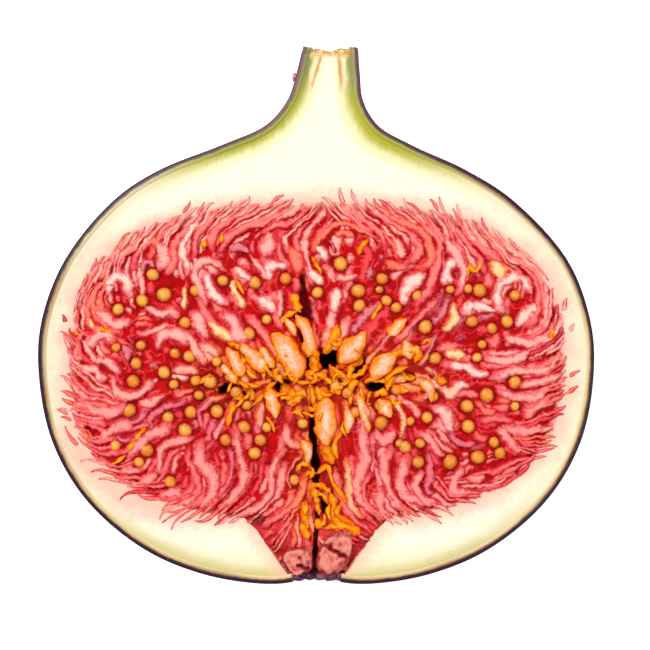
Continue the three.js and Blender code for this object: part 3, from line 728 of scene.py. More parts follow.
        (0.7, (8.9, -0.5), (8.0, -1.3), (7.2, -2.1)),
        (0.95, (8.8, -2.6), (9.1, -3.4), (9.3, -4.4)),
        (1.25, (0.9, -8.4), (0.9, -10.0), (0.95, -11.6), (0.9, -13.2)),
        (0.8, (6.3, -8.6), (6.9, -9.4), (7.4, -10.3)),
        (0.6, (10.3, -6.4), (11.2, -7.2), (11.5, -8.6)),
        (0.45, (4.1, -8.0), (4.7, -9.8), (5.2, -11.5)),
        (0.6, (3.0, -9.4), (3.3, -10.6), (3.1, -11.8)),
        (0.44, (-9.6, -5.0), (-8.8, -5.8), (-8.1, -6.8)),
        (0.55, (-1.4, -12.6), (-0.8, -13.8), (-0.9, -15.0)),
        (0.44, (-5.6, -3.0), (-5.0, -4.2), (-4.4, -5.4)),
    ),
    "yellow": (
        (0.38, (-0.15, -3.5), (-0.1, -4.6), (0.0, -5.6)),
        (0.85, (-2.5, -7.5), (-2.4, -8.3), (-2.5, -9.2)),
        (0.55, (-0.7, -7.1), (-0.4, -8.1), (-0.3, -9.2)),
        (0.55, (-8.5, -7.7), (-8.0, -8.1), (-7.6, -8.7)),
        (0.55, (2.1, -1.0), (1.7, -2.4), (0.9, -3.8)),
        (0.5, (3.1, -7.5), (3.4, -8.1), (3.4, -8.9)),
        (0.45, (7.6, -7.2), (8.3, -7.5), (9.2, -7.6)),
        (0.8, (-0.1, -7.2), (0.5, -7.9), (0.2, -8.7)),
        (0.5, (1.6, -6.9), (2.0, -7.4), (2.3, -8.0)),
        (0.75, (0.6, -13.3), (1.2, -14.0), (1.6, -14.9)),
        (0.5, (9.7, -3.3), (10.1, -4.0), (9.9, -4.7)),
        (0.4, (-1.4, -18.9), (-1.1, -20.2), (-0.9, -21.6)),
        (0.35, (-0.4, -17.6), (0.0, -18.8), (0.3, -20.0)),
        (0.55, (-0.3, -20.5), (0.2, -21.0), (0.6, -21.4)),
        (0.6, (1.6, -20.4), (2.7, -20.9), (3.9, -21.4)),
    ),
}
FLORET_COLOURS = {
    "juice": ("cc040c", "840004"),
    "pale": ("f9cfc0", "e65258"),
    "pink": ("f9aca0", "de3f48"),
    "rose": ("f88078", "d4283a"),
    "coral": ("f47e66", "d82c2c"),
    "peach": ("fbcf9c", "e86a36"),
    "mauve": ("e07c84", "a8142c"),
    "red": ("ee4a4e", "b40618"),
    "blush": ("fbb8a6", "ee7a70"),
    "core": ("fbc8ae", "f08812"),
    "yellow": ("f8ab24", "e66c06"),
}
GOLDEN = ("f6a850", "dc5a08")
GOLDEN_JUICE = ("b02404", "5c0c02")
SEEDS_MM = (
    (-16.4, 4.0, 0.65), (-15.3, 2.0, 0.8), (-17.5, 1.4, 0.65), (-19.9, 0.5, 0.6), (-9.4, 3.4, 0.56),
    (-6.2, 3.2, 0.68), (-3.1, 3.6, 0.6), (-12.1, 2.4, 0.6), (2.4, 5.1, 0.76), (4.2, 2.4, 0.75),
    (6.6, 3.6, 0.6), (6.3, 2.5, 0.38), (4.3, 0.9, 0.65), (7.0, 1.4, 0.54), (8.0, 0.7, 0.54),
    (0.1, 2.2, 0.58), (10.1, 1.9, 0.58), (16.4, 2.4, 0.75), (15.2, 2.6, 0.44), (13.4, 2.5, 0.42),
    (19.9, 1.9, 0.56), (-13.2, -0.8, 0.6), (-20.1, -3.3, 0.48), (-17.6, -3.1, 0.5), (-18.1, -4.9, 0.6),
    (-18.4, -6.7, 0.7), (-15.3, -5.8, 0.66), (-14.3, -7.0, 0.48), (-18.8, -9.6, 0.76),
    (-14.9, -10.3, 0.62), (-14.2, -3.9, 0.52), (-12.7, -4.2, 0.66), (-23.6, -11.1, 0.42),
    (-23.1, -12.2, 0.6), (-20.2, -13.2, 0.6), (-17.0, -13.6, 0.74), (-13.2, -11.6, 0.75),
    (-17.8, -14.8, 0.52), (-14.7, -16.8, 0.66), (-10.0, -4.7, 0.52), (-6.8, -1.9, 0.66), (-5.0, -0.5, 0.5),
    (-12.1, -6.6, 0.56), (-10.7, -6.7, 0.76), (-11.8, -8.1, 0.48), (-8.7, -6.2, 0.54), (-12.6, -9.8, 0.68),
    (-10.0, -9.7, 0.7), (-8.1, -7.8, 0.6), (-7.3, -11.3, 0.68), (-7.0, -9.1, 0.5), (-9.1, -12.6, 0.62),
    (-5.6, -12.6, 0.62), (-6.2, -13.9, 0.64), (-5.0, -11.3, 0.5), (-2.2, -16.6, 0.54), (10.9, -1.2, 0.78),
    (11.9, -4.4, 0.64), (9.9, -3.6, 0.56), (3.1, -7.8, 0.62), (1.9, -7.2, 0.6), (6.5, -9.1, 0.7),
    (6.5, -10.9, 0.76), (8.0, -7.6, 0.5), (11.1, -10.3, 0.6), (11.7, -8.2, 0.54), (9.4, -10.7, 0.44),
    (15.6, -0.7, 0.62), (19.1, -0.7, 0.64), (17.6, -1.4, 0.54), (16.6, -3.0, 0.44), (19.9, -6.8, 0.7),
    (17.1, -8.1, 0.8), (15.1, -9.2, 0.7), (15.2, -11.2, 0.72), (16.1, -4.3, 0.48), (19.9, -9.2, 0.46),
    (8.9, -13.3, 0.66), (8.3, -12.9, 0.4), (10.4, -12.9, 0.52), (10.2, -14.8, 0.66), (17.8, -12.8, 0.54),
    (18.4, -13.9, 0.6), (16.2, -14.3, 0.76), (13.4, -14.8, 0.8), (-2.5, -8.7, 0.54), (3.9, -9.8, 0.6),
    (-1.4, -10.9, 0.56),
)
PATH_STEP = 0.25 * MM
HOLLOW_MIDDLE = np.array((-0.3, -6.5)) * MM
PINKER_BELOW = -11 * MM


def path_through(points):
    """Points at even steps along a smooth curve through the given ones."""
    fine = through(np.array(points), np.linspace(0, 1, 12 * len(points))) * MM
    run = np.concatenate([[0], np.cumsum(np.linalg.norm(np.diff(fine, axis=0), axis=1))])
    count = max(int(run[-1] / PATH_STEP), 4)
    return np.stack([np.interp(np.linspace(0, run[-1], count), run, fine[:, k]) for k in (0, 1)], axis=1)


def rounded_ends(count, half):
    """Widths from 0 to 1 along a path, which round off its ends over about its half width."""
    run = np.arange(count) * PATH_STEP
    from_end = np.minimum(run, run[::-1]) / (1.2 * half)
    return np.sqrt(1 - (1 - np.clip(from_end, 0.03, 1)) ** 2)


draw = np.random.default_rng(5)
drawn_florets = []
for kind, paths in FLORETS_MM.items():
    for half, *points in paths:
        spots = path_through(points)
        if kind == "pale" and spots[:, 1].mean() < PINKER_BELOW:
            kind = "pink"
        along = np.linspace(0, 1, len(spots))
        from_hollow = np.hypot((spots[:, 0] - HOLLOW_MIDDLE[0]) * 0.6, spots[:, 1] - HOLLOW_MIDDLE[1])
        inwards = along if from_hollow[-1] < from_hollow[0] else along[::-1]
        swell = 0.66 + 0.34 * smooth(inwards / (0.75 if kind == "core" else 0.4))
        swell = swell * (1 + 0.12 * np.sin(along * draw.uniform(5, 11) + draw.uniform(0, 6)))
        swell = swell * (1.18 if kind not in ("core", "yellow") else 1.0)
        widths = half * MM * swell * rounded_ends(len(spots), half * MM)
        drawn_florets.append((kind, spots, widths, draw.uniform(0.1, 0.22) * MM))

# The thin florets fill the rest. They set out from the rim, leaning over to one side, and run inwards
# beside the large ones.
RIM_TURN = np.radians(62)
HEADING_REACH = 1.2 * MM
TURNS_FROM = 0.62
LEVEL_BAND = 5 * MM

drawn = np.concatenate([spots for _, spots, _, _ in drawn_florets])
drawn_half = np.concatenate([widths for _, _, widths, _ in drawn_florets])
drawn_way = np.concatenate([np.gradient(spots, axis=0) for _, spots, _, _ in drawn_florets])
drawn_way /= np.linalg.norm(drawn_way, axis=1)[:, None]
seed_spots = np.array([(x, y) for x, y, _ in SEEDS_MM]) * MM
seed_half = np.array([radius for _, _, radius in SEEDS_MM]) * MM


def rim_share(spots):
    """How far out places lie, from 0 in the chamber's middle to 1 at its rim."""
    across, along = spots[..., 0], spots[..., 1] - CHAMBER_MIDDLE
    far = np.hypot(across, along) + 1e-9
    return far / chamber_reach(across / far, along / far)


def turned(way, angle):
    """A direction on the cut face, turned to the left by an angle."""
    x, y = way
    return np.array((x * np.cos(angle) - y * np.sin(angle), x * np.sin(angle) + y * np.cos(angle)))


def heading(spot):
    """Which way a floret grows at a place: inwards, leaning near the rim, and along large ones nearby."""
    x, y = spot - HOLLOW_MIDDLE
    inwards = np.array((-0.75 * x, -y)) / (np.hypot(0.75 * x, y) + 1e-9)
    level = np.exp(-((y / LEVEL_BAND) ** 2))
    near_rim = smooth((rim_share(spot) - TURNS_FROM) / (1 - TURNS_FROM))
    turn = -x / (abs(x) + 2.5 * MM) * RIM_TURN * near_rim * (1 - 0.5 * level)
    turn += 0.5 * np.sin(spot[1] / (1.1 * MM) + 0.8 * np.sin(spot[0] / (2.5 * MM)))
    own = turned(inwards, -turn)
    away = np.linalg.norm(drawn - spot, axis=1) - drawn_half
    weight = np.exp(-((np.maximum(away, 0) / HEADING_REACH) ** 2))
    agree = np.sign(drawn_way @ own)
    way = own * 1.2 + (drawn_way * (agree * weight)[:, None]).sum(axis=0)
    return way / np.linalg.norm(way)


RIM_SPACING = 0.75 * MM
START_SHARES = (0.965, 1.005)
TOP_RIM = 5 * MM
FILL_KINDS = {
    "top": (("pink", "rose", "blush", "coral"), (0.5, 0.25, 0.2, 0.05)),
    "rim": (("rose", "pink", "red", "coral"), (0.5, 0.34, 0.08, 0.08)),
    "inner": (("red", "rose", "mauve", "pink", "pale"), (0.5, 0.2, 0.13, 0.11, 0.06)),
}
FILL_TRIES = 2500
grown = []
grown_spots = np.full((1, 2), 1.0)


def spacing(spot):
    """How far apart thin florets lie: close at the rim, wider inside."""
    return (0.36 + 0.5 * smooth((1 - rim_share(spot)) / 0.5)) * MM


def grow(spot, length, sense=1):
    """A path from a place, which ends when it is long enough, or comes near another or the rim."""
    path = [spot]
    for _ in range(int(length / PATH_STEP)):
        ahead = path[-1] + sense * PATH_STEP * heading(path[-1])
        near = np.min(np.linalg.norm(grown_spots - ahead, axis=1))
        if rim_share(ahead) > 1.03 or near < 0.55 * spacing(ahead):
            break
        path.append(ahead)
    return path


rim_turns = np.linspace(0, 2 * np.pi, 3000)
rim_reach = chamber_reach(np.cos(rim_turns), np.sin(rim_turns))
rim = np.stack([rim_reach * np.cos(rim_turns), CHAMBER_MIDDLE + rim_reach * np.sin(rim_turns)], axis=1)
rim_run = np.concatenate([[0], np.cumsum(np.linalg.norm(np.diff(rim, axis=0), axis=1))])
starts = np.arange(0, rim_run[-1], RIM_SPACING)
starts = starts + draw.uniform(-0.2, 0.2, len(starts)) * RIM_SPACING
rim_starts = np.stack([np.interp(starts, rim_run, rim[:, k]) for k in (0, 1)], axis=1)
rim_starts = rim_starts[rim_starts[:, 1] > FUNNEL_Y[2]]
rim_starts[:, 1] -= CHAMBER_MIDDLE
rim_starts *= draw.uniform(*START_SHARES, (len(rim_starts), 1))
rim_starts[:, 1] += CHAMBER_MIDDLE
tries = np.column_stack([draw.uniform(*span, FILL_TRIES) for span in ((-24.5, 24.5), (-23.5, 11))]) * MM
for spot in np.concatenate([rim_starts[draw.permutation(len(rim_starts))], tries]):
    if rim_share(spot) > 1.01 or np.min(np.linalg.norm(grown_spots - spot, axis=1)) < spacing(spot):
        continue
    path = grow(spot, draw.uniform(3, 9) * MM)
    if rim_share(spot) < 0.97:
        path = grow(spot, draw.uniform(2, 6) * MM, -1)[:0:-1] + path
    if len(path) < 5:
        continue
    grown.append(np.array(path))
    grown_spots = np.concatenate([grown_spots, grown[-1]])

thin_florets = []
grown_owner = np.concatenate([[-1], *(np.full(len(path), i) for i, path in enumerate(grown))])
for i, path in enumerate(grown):
    others = grown_spots[grown_owner != i]
    gaps = np.array([np.min(np.linalg.norm(others - spot, axis=1)) for spot in path])
    widths = np.convolve(np.pad(0.56 * gaps, 2, "edge"), np.ones(5) / 5, "valid")
    widths = np.clip(widths, 0.16 * MM, 0.55 * MM) * rounded_ends(len(path), 0.4 * MM)
    outer = rim_share(path[0]) > 0.85
    if outer:
        widths = widths * (0.6 + 0.4 * smooth(np.arange(len(path)) * PATH_STEP / (1.6 * MM)))
    kinds, chances = FILL_KINDS["inner" if not outer else "top" if path[0][1] > TOP_RIM else "rim"]
    kind = draw.choice(kinds, p=chances)
    thin_florets.append((kind, path, widths))

# The pulp's cut face. Deep red juice fills the gaps between the florets, and all of it falls away into
# the hollow in the middle and the crack that runs down to the eye. A fine raster holds the highest floret
# at each place, and is laid over four quarters of the pulp, which meet in its middle.
CELL = 0.055 * MM
RASTER_LOW = np.array((-25.4, -26.0)) * MM
RASTER_SIZE = (926, 682)
FAR_BELOW = -9.0
JUICE_DROP = 0.55 * MM
HOLLOW_DEPTH = 4.0 * MM
HOLLOWS_MM = (
    (-3.5, -6.3, 0.8, 1.4),
    (-0.9, -5.4, 0.8, 1.1),
    (1.1, -4.7, 1.2, 1.0),
    (4.1, -5.3, 0.7, 1.1),
    (6.2, -7.2, 0.95, 0.6),
    (8.8, -6.3, 0.95, 0.45),
    (-9.1, -7.5, 0.7, 0.4),
    (-6.7, -7.9, 0.6, 0.4),
    (0.9, -19.2, 0.4, 0.8),
)
CRACK_MM = np.array(
    [
        (-1.4, 3.6, 0.3, 0.35),
        (-1.2, 0.6, 0.75, 0.4),
        (-1.0, -3.2, 0.45, 0.45),
        (-0.4, -7.2, 0.2, 0.5),
        (-0.4, -11.6, 0.3, 0.75),
        (-0.1, -15.0, 0.4, 0.8),
        (-0.1, -17.2, 0.25, 0.5),
        (0.1, -20.0, 0.15, 0.4),
        (-0.1, -22.4, 0.2, 0.35),
        (-0.1, -25.6, 0.3, 0.75),
    ]
)


def flat_lumps(spots, size, seed, octaves=3):
    """Lumps over places on the cut face, in the places' own shape."""
    spread = np.concatenate([spots.reshape(-1, 2), np.zeros((spots.size // 2, 1))], axis=1)
    return lumps(spread, size, seed, octaves).reshape(spots.shape[:-1])


def wander(spots, size, seed):
    """Lumps in X and in Y, by which places move about."""
    return np.stack([flat_lumps(spots, size, seed), flat_lumps(spots, size, seed + 1)], axis=-1)


def openness(spots):
    """How open the pulp is at places: 1 in the hollow and the crack, 0 a little way from them."""
    x, y = spots[..., 0] / MM, spots[..., 1] / MM
    rough = 0.3 * flat_lumps(spots, 0.9 * MM, 21)
    opened = np.zeros(x.shape)
    for middle_x, middle_y, half_x, half_y in HOLLOWS_MM:
        away = np.hypot((x - middle_x) / half_x, (y - middle_y) / half_y)
        opened = np.maximum(opened, 1 - smooth((away + rough - 0.55) / 0.8))
    line = through(CRACK_MM, np.linspace(0, 1, 120))[::-1]
    middle, half, depth = (np.interp(y, line[:, 1], line[:, k]) for k in (0, 2, 3))
    within = smooth((4.6 - y) / 1.0)
    crack = depth * (1 - smooth((np.abs(x - middle) / half + rough - 0.5) / 0.9)) * within
    return np.maximum(opened, crack)


def fibres(spots):
    """Thin membranes in the juice: 1 on fine lines that run towards the hollow, 0 beside them."""
    x, y = 0.75 * (spots[..., 0] - HOLLOW_MIDDLE[0]), spots[..., 1] - HOLLOW_MIDDLE[1]
    unrolled = np.stack([8.0 * MM * np.arctan2(y, x), 0.3 * np.hypot(x, y)], axis=-1)
    unrolled = unrolled + 0.5 * MM * wander(spots, 2 * MM, 42)
    return smooth(1 - np.abs(flat_lumps(unrolled, 0.75 * MM, 41, 2)) / 0.2)


def gilding(spots):
    """How orange the pulp is at places: 1 round the hollow and beside the lower crack, 0 further out."""
    away = (spots - HOLLOW_MIDDLE) / MM
    rough = 0.25 * flat_lumps(spots, 1.5 * MM, 27)
    round_hollow = 1 - smooth((np.hypot(away[..., 0] / 11.5, away[..., 1] / 3.8) + rough - 0.5) / 0.9)
    by_crack = np.exp(-((away[..., 0] / 2.4) ** 2))
    by_crack = by_crack * smooth(-away[..., 1] / 6) * smooth((away[..., 1] + 17) / 2)
    return np.maximum(round_hollow, by_crack)


def pocket(spots):
    """Where juice has pooled: round the seeds and in patches between the florets, but not at the rim."""
    pooled = np.maximum(seed_ring(spots), 0.8 * smooth(flat_lumps(spots, 1.8 * MM, 23) * 2.2 - 0.7))
    return pooled * smooth((0.93 - rim_share(spots)) / 0.12)


def seed_ring(spots):
    """1 beside a seed, falling to 0 half a millimetre from it."""
    gap = np.full(spots.shape[:-1], 1.0)
    for spot, radius in zip(seed_spots, seed_half):
        gap = np.minimum(gap, np.hypot(spots[..., 0] - spot[0], spots[..., 1] - spot[1]) - radius)
    return 1 - smooth(gap / (0.5 * MM))


def raster_florets(florets):
    """The raster's height under the cut face, and its floret's colour, share across and share along."""
    columns, rows = RASTER_SIZE
    x = RASTER_LOW[0] + CELL * np.arange(columns)[:, None]
    y = RASTER_LOW[1] + CELL * np.arange(rows)[None, :]
    kinds = list(FLORET_COLOURS)
    height = np.full(RASTER_SIZE, FAR_BELOW)
    shade = np.zeros(RASTER_SIZE, int)
    across = np.zeros(RASTER_SIZE)
    along = np.full(RASTER_SIZE, 0.5)
    for kind, spots, widths, sunk in florets:
        fine = np.linspace(0, len(spots) - 1, 2 * len(spots))
        spots = np.stack([np.interp(fine, np.arange(len(spots)), spots[:, k]) for k in (0, 1)], axis=1)
        sunk = np.broadcast_to(sunk, len(widths))
        widths, sunk = (np.interp(fine, np.arange(len(values)), values) for values in (widths, sunk))
        for spot, half, drop, t in zip(spots, widths, sunk, fine / fine[-1]):
            reach = 1.1 * half
            low = np.maximum(((spot - reach - RASTER_LOW) / CELL).astype(int), 0)
            high = ((spot + reach - RASTER_LOW) / CELL).astype(int) + 2
            window = (slice(low[0], high[0]), slice(low[1], high[1]))
            share = np.hypot(x[window[0]] - spot[0], y[:, window[1]] - spot[1]) / half
            level = -drop - 0.1 * MM * share**2 - 0.4 * MM * smooth((share - 0.7) / 0.4)
            best = (share < 1.08) & (level > height[window])
            height[window][best] = level[best]
            shade[window][best] = kinds.index(kind)
            across[window][best] = share[best]
            along[window][best] = t
    return height, shade, across, along


thin_placed = []
for kind, path, widths in thin_florets:
    near_rim = smooth((rim_share(path) - 0.84) / 0.14)
    thin_placed.append((kind, path, widths, (0.38 - 0.32 * near_rim) * MM + 0.5 * MM * pocket(path)))
face_florets = [floret for floret in drawn_florets if floret[0] not in ("core", "yellow")]
height, shade, across, along = raster_florets(thin_placed + face_florets)

FACE_END = -25.7 * MM
FACE_ROWS = 300
FACE_COLUMNS = 300
BOWL_STEPS = 10
BOWL_EDGE = 2.2 * MM
BOWL_LOWEST = 1.5 * MM
TOP_FROM = 2 * MM
LOWER_FROM = -6 * MM
FUNNEL_FROM = -19.5 * MM
EYE_FROM = -22.8 * MM
SIDE_BAND, TOP_BAND, FUNNEL_BAND = 0.035, 0.07, 0.004
RIM_JUICE_DROP = 0.17 * MM
RIM_BLUSH = ("f6a896", "f9d6bc")
MEMBRANE = ("ea4a48", "bc1422")
LOWER_ROSE = ("f0505c", "b80c22")
TUCKED_IN = 0.3 * MM

# The rows run from top to bottom, close together where the edge turns, and the rim lies under the flesh.
face_reach = CHAMBER_HALF + TUCKED_IN
fine_y = np.linspace(CHAMBER_MIDDLE + face_reach[1], FACE_END, 6000)
box_share = np.clip(np.abs(fine_y - CHAMBER_MIDDLE) / face_reach[1], 0, 1)
fine_half = face_reach[0] * (1 - box_share**CHAMBER_SQUARENESS) ** (1 / CHAMBER_SQUARENESS)
fine_half = np.maximum(fine_half, np.interp(fine_y, FUNNEL_Y, FUNNEL_HALF + TUCKED_IN, right=0))
fine_run = np.concatenate([[0], np.cumsum(np.abs(np.diff(fine_y)) + 0.3 * np.abs(np.diff(fine_half)))])
row_y = np.interp(np.linspace(0, fine_run[-1], 2 * FACE_ROWS - 1), fine_run, fine_y)
row_half = np.maximum(np.interp(row_y[::-1], fine_y[::-1], fine_half[::-1])[::-1], 0.01 * MM)


def blend(first, second, share):
    """One value turned towards another by a share."""
    return first + (second - first) * share


def tinted(shades, text, share):
    """Colours turned by shares towards one that its web code names."""
    return blend(shades, np.array(colour(text)), share[..., None])


def cut_face(spots):
    """The cut face at places: its heights, the numbers that its material reads, and its two colours."""
    warp = 0.13 * MM * wander(spots, 0.9 * MM, 31)
    warp += 0.04 * MM * wander(spots, 0.3 * MM, 33)
    place = np.clip((spots + warp - RASTER_LOW) / CELL, 0, np.array(RASTER_SIZE) - 2)
    first = place.astype(int)
    i, j = first[..., 0], first[..., 1]
    u, v = (place - first)[..., 0], (place - first)[..., 1]

    def sample(field):
        near = blend(field[i, j], field[i + 1, j], u)
        return blend(near, blend(field[i, j + 1], field[i + 1, j + 1], u), v)

    share_out = rim_share(spots) + 0.01 * flat_lumps(spots, 0.7 * MM, 36)
    at_top = smooth((spots[..., 1] - TOP_FROM) / (5 * MM))
    in_funnel = smooth((FUNNEL_FROM - spots[..., 1]) / (1.5 * MM))
    band = blend(blend(SIDE_BAND, TOP_BAND, at_top), FUNNEL_BAND, in_funnel)
    near_rim = smooth((share_out - 1 + band) / band)
    past_rim = smooth((rim_share(spots) - 1.004) / 0.01)
    beside_eye = smooth((EYE_FROM - spots[..., 1]) / (1.2 * MM))
    juice_level = blend(-JUICE_DROP, -RIM_JUICE_DROP, near_rim) + 0.04 * MM * flat_lumps(spots, 1.3 * MM, 35)
    fibre = fibres(spots) * (1 - seed_ring(spots)) * (1 - near_rim)
    juice_level = juice_level + 0.13 * MM * fibre
    raised = sample(height)
    wet = smooth((juice_level - raised) / (0.05 * MM) + 0.5)
    open_here = openness(spots)
    z = CUT + np.maximum(raised, juice_level) - HOLLOW_DEPTH * open_here - 0.7 * MM * beside_eye
    z = z - 0.5 * MM * past_rim
    wet_shade = 0.4 + 0.3 * seed_ring(spots) - 0.3 * fibre
    pale_rim = smooth((share_out - 0.9) / 0.1) * (0.15 + 0.85 * at_top)
    nearest = shade[np.rint(place[..., 0]).astype(int), np.rint(place[..., 1]).astype(int)]
    golden = gilding(spots)
    lower = smooth((LOWER_FROM - spots[..., 1]) / (5 * MM))
    numbers = {
        "across": blend(sample(across), wet_shade, wet),
        "along": blend(sample(along), 0.5, wet),
        "wet": wet * (1 - near_rim) * (1 - fibre),
        # How deep the painted shade in the hollow and the crack is.
        "dark": open_here,
    }
    tables = [[colour(ends[end]) for ends in FLORET_COLOURS.values()] for end in (0, 1)]
    shades = {}
    for key, end in (("middle", 0), ("edge", 1)):
        floret = tinted(np.array(tables[end])[nearest], GOLDEN[end], 0.7 * golden)
        juice = tinted(np.array(tables[end][0]), GOLDEN_JUICE[end], 0.8 * golden)
        juice = tinted(juice, MEMBRANE[end], np.maximum(0.75 * fibre, 0.85 * in_funnel))
        juice = tinted(juice, RIM_BLUSH[0], near_rim)
        juice = tinted(juice, RIM_BLUSH[1], smooth((share_out - 1 + band / 2) / band))
        floret = tinted(floret, RIM_BLUSH[0], (0.6 - 0.4 * end) * pale_rim)
        floret = tinted(floret, LOWER_ROSE[end], 0.32 * lower)
        shades[key] = blend(floret, juice, wet[..., None])
    return z, numbers, shades


def pulp_quarter(name, side, y, half):
    """A closed quarter of the pulp: the cut face, the bowl under it, and flat sides to the others."""
    x = side * half[:, None] * np.linspace(0, 1, FACE_COLUMNS)
    spots = np.stack([x, np.broadcast_to(y[:, None], x.shape)], axis=2)
    z, numbers, shades = cut_face(spots)
    turns = np.linspace(0, np.pi / 2, BOWL_STEPS + 1)[1:]
    bowl_x = side * half[:, None] * np.cos(turns)
    bowl_z = np.maximum(CUT - BOWL_EDGE - half[:, None] * np.sin(turns), BOWL_LOWEST)
    bowl_z = np.minimum(bowl_z, z[:, -1:] - 0.2 * MM)
    bowl = np.stack([bowl_x, np.broadcast_to(y[:, None], bowl_x.shape), bowl_z], axis=2)
    points = np.concatenate([np.concatenate([spots, z[..., None]], axis=2), bowl], axis=1)
    rows, columns, _ = points.shape
    faces = grid_faces(rows, columns)
    faces += [tuple(range(columns)), tuple(range((rows - 1) * columns, rows * columns))]
    carried = [(key, np.pad(values, ((0, 0), (0, BOWL_STEPS)), "edge")) for key, values in numbers.items()]
    piece = mesh_piece(name, points.reshape(-1, 3), faces, carried, False)
    for key, values in shades.items():
        store(piece.data, key, np.pad(values, ((0, 0), (0, BOWL_STEPS), (0, 0)), "edge"))
    soft_faces = np.ones(len(faces), bool)
    soft_faces[columns - 1 : -2 : columns] = False
    soft_faces[-2:] = False
    piece.data.polygons.foreach_set("use_smooth", soft_faces)
    return piece


def floret_finish(name, spread, ends_from, grain, shadow):
    """A floret's material: its middle colour turns to its edge colour, shadow tints its outline, and painted
    shade darkens it in the hollow and the crack.
    """
    petal = Finish(
        name,
        Roughness=0.3,
        Specular_IOR_Level=0.0,
        Coat_Roughness=0.07,
        Subsurface_Weight=0.1,
        Subsurface_Radius=(0.0012, 0.0004, 0.0003),
        Subsurface_Scale=0.4,
    )
    middle, edge = (petal.add("ShaderNodeAttribute", {"attribute_name": key}) for key in ("middle", "edge"))
    across_floret = abs(petal.attribute("across"))
    cloud = petal.noise(0.8 * MM, detail=4)
    fine = petal.noise(0.2 * MM, detail=3)
    off_middle = across_floret + (cloud - 0.5) * 1.4 + (fine - 0.5) * 0.5
    tint = off_middle.step(spread - 0.8, spread).mix(middle, edge)
    ends = abs(petal.attribute("along") - 0.5) + (cloud - 0.5) * 0.25
    tint = (ends.step(ends_from, 0.5) * 0.75).mix(tint, edge)
    tint = (fine.step(0.5, 0.7) * grain).mix(tint, edge)
    outline = (across_floret + (fine - 0.5) * 0.3).step(0.72, 0.95)
    deep = petal.add("ShaderNodeVectorMath", {"operation": "MULTIPLY"}, {0: edge, 1: shadow})
    tint = outline.mix(tint, deep)
    # Painted shade: the colour turns dark red, then near black, down in the hollow and the crack.
    open_here = petal.attribute("dark")
    tint = open_here.step(0.05, 0.5).mix(tint, "780505")
    tint = open_here.step(0.55, 1.0).mix(tint, "240303")
    petal.feed(Base_Color=tint, Coat_Weight=petal.attribute("wet") * 0.2 + 0.04)
    petal.bump(fine + cloud, 0.08 * MM, 0.6)
    return petal


petal = floret_finish("floret_flesh", 0.9, 0.3, 0.18, (0.78, 0.16, 0.24))
golden_petal = floret_finish("golden_floret", 0.72, 0.16, 0.5, (0.8, 0.26, 0.05))

top_rows, low_rows = slice(0, FACE_ROWS), slice(FACE_ROWS - 1, None)
for name, side, rows in (
    ("pulp_upper_left", -1, top_rows),
    ("pulp_upper_right", 1, top_rows),
    ("pulp_lower_left", -1, low_rows),
    ("pulp_lower_right", 1, low_rows),
):
    quarter = pulp_quarter(name, side, row_y[rows], row_half[rows])
    finish_piece(quarter, petal)
    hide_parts("pulp")

# The florets round the hollow. These stand free, swollen and orange edged, over the dark middle, and at
# the rim the thin ends of others curl out over the flesh. Each is a soft tube along its own path.
FLORET_CROWN = 0.34
FLORET_DEPTH = 1.5
BELOW_CUT = 0.01 * MM
GOLDEN_FILL = 46
golden_florets = []
for kind, spots, widths, sunk in drawn_florets:
    if kind in ("core", "yellow"):
        level = 0.05 * MM if kind == "core" else 0.3 * MM
        golden_florets.append((kind, spots, widths, level + 0.4 * MM * openness(spots)))
for spot in HOLLOW_MIDDLE + draw.uniform((-9.5, -3), (9.5, 3), (GOLDEN_FILL, 2)) * MM:
    if np.min(np.linalg.norm(seed_spots - spot, axis=1) - seed_half) < 0.5 * MM:
        continue
    length = int(draw.uniform(6, 12))
    spots = spot + np.outer(np.arange(length) - length / 2, PATH_STEP * heading(spot))
    half = draw.uniform(0.35, 0.65) * MM
    level = draw.uniform(0.45, 1.1) * MM
    kind = draw.choice(("core", "yellow", "coral"), p=(0.35, 0.4, 0.25))
    golden_florets.append((kind, spots, half * rounded_ends(length, half), np.full(length, level)))

# Most strands at the rim run on past it, and their thin ends curl over the flesh.
HOOKED_SHARE = 0.88
HOOK_STEP = 0.2 * MM
HOOKS_FROM = -21 * MM
CORNERS_BELOW = -13 * MM
CORNERS_BEYOND = 10 * MM
BETWEEN_SIDES = 1.2 * MM
rim_hooks = []
for kind, path, widths in thin_florets:
    x, y = path[0]
    if rim_share(path[0]) < 0.95 or y < HOOKS_FROM or draw.random() > HOOKED_SHARE:
        continue
    way = -heading(path[0])
    curl = draw.choice((-1, 1)) * draw.uniform(0.3, 2.4)
    if y > 0 and abs(x) < BETWEEN_SIDES:
        continue
    longer = 1.25 if y > 4 * MM else 1.0
    if y < CORNERS_BELOW and abs(x) > CORNERS_BEYOND:
        longer = 2.4 if x < 0 else 1.6
    steps = int(draw.uniform(3, 6) * longer)
    hook = [path[3], path[2], path[1], path[0]]
    for i in range(steps):
        angle = curl * i / steps**2
        way = turned(way, angle)
        hook.append(hook[-1] + HOOK_STEP * way)
    along = np.linspace(0, 1, len(hook))
    half = np.interp(along, (0, 0.5, 1), (widths[3], widths[1] + 0.04 * MM, 0.05 * MM))
    sunk = np.interp(along, (0, 0.5, 1), (0.16 * MM, 0.04 * MM, 0.05 * MM))
    rim_hooks.append((kind, np.array(hook), half, sunk))


def node_tree(name, given, result):
    """The inputs of a new tree of geometry nodes, given by name and kind, as sockets in their order."""
    group = bpy.data.node_groups.new(name, "GeometryNodeTree")
    for key, kind in given.items():
        group.interface.new_socket(key, in_out="INPUT", socket_type="NodeSocket" + kind)
    group.interface.new_socket(result, in_out="OUTPUT", socket_type="NodeSocketGeometry")
    outputs = group.nodes.new("NodeGroupInput").outputs
    return [Socket(group, outputs[i]) for i in range(len(given))]


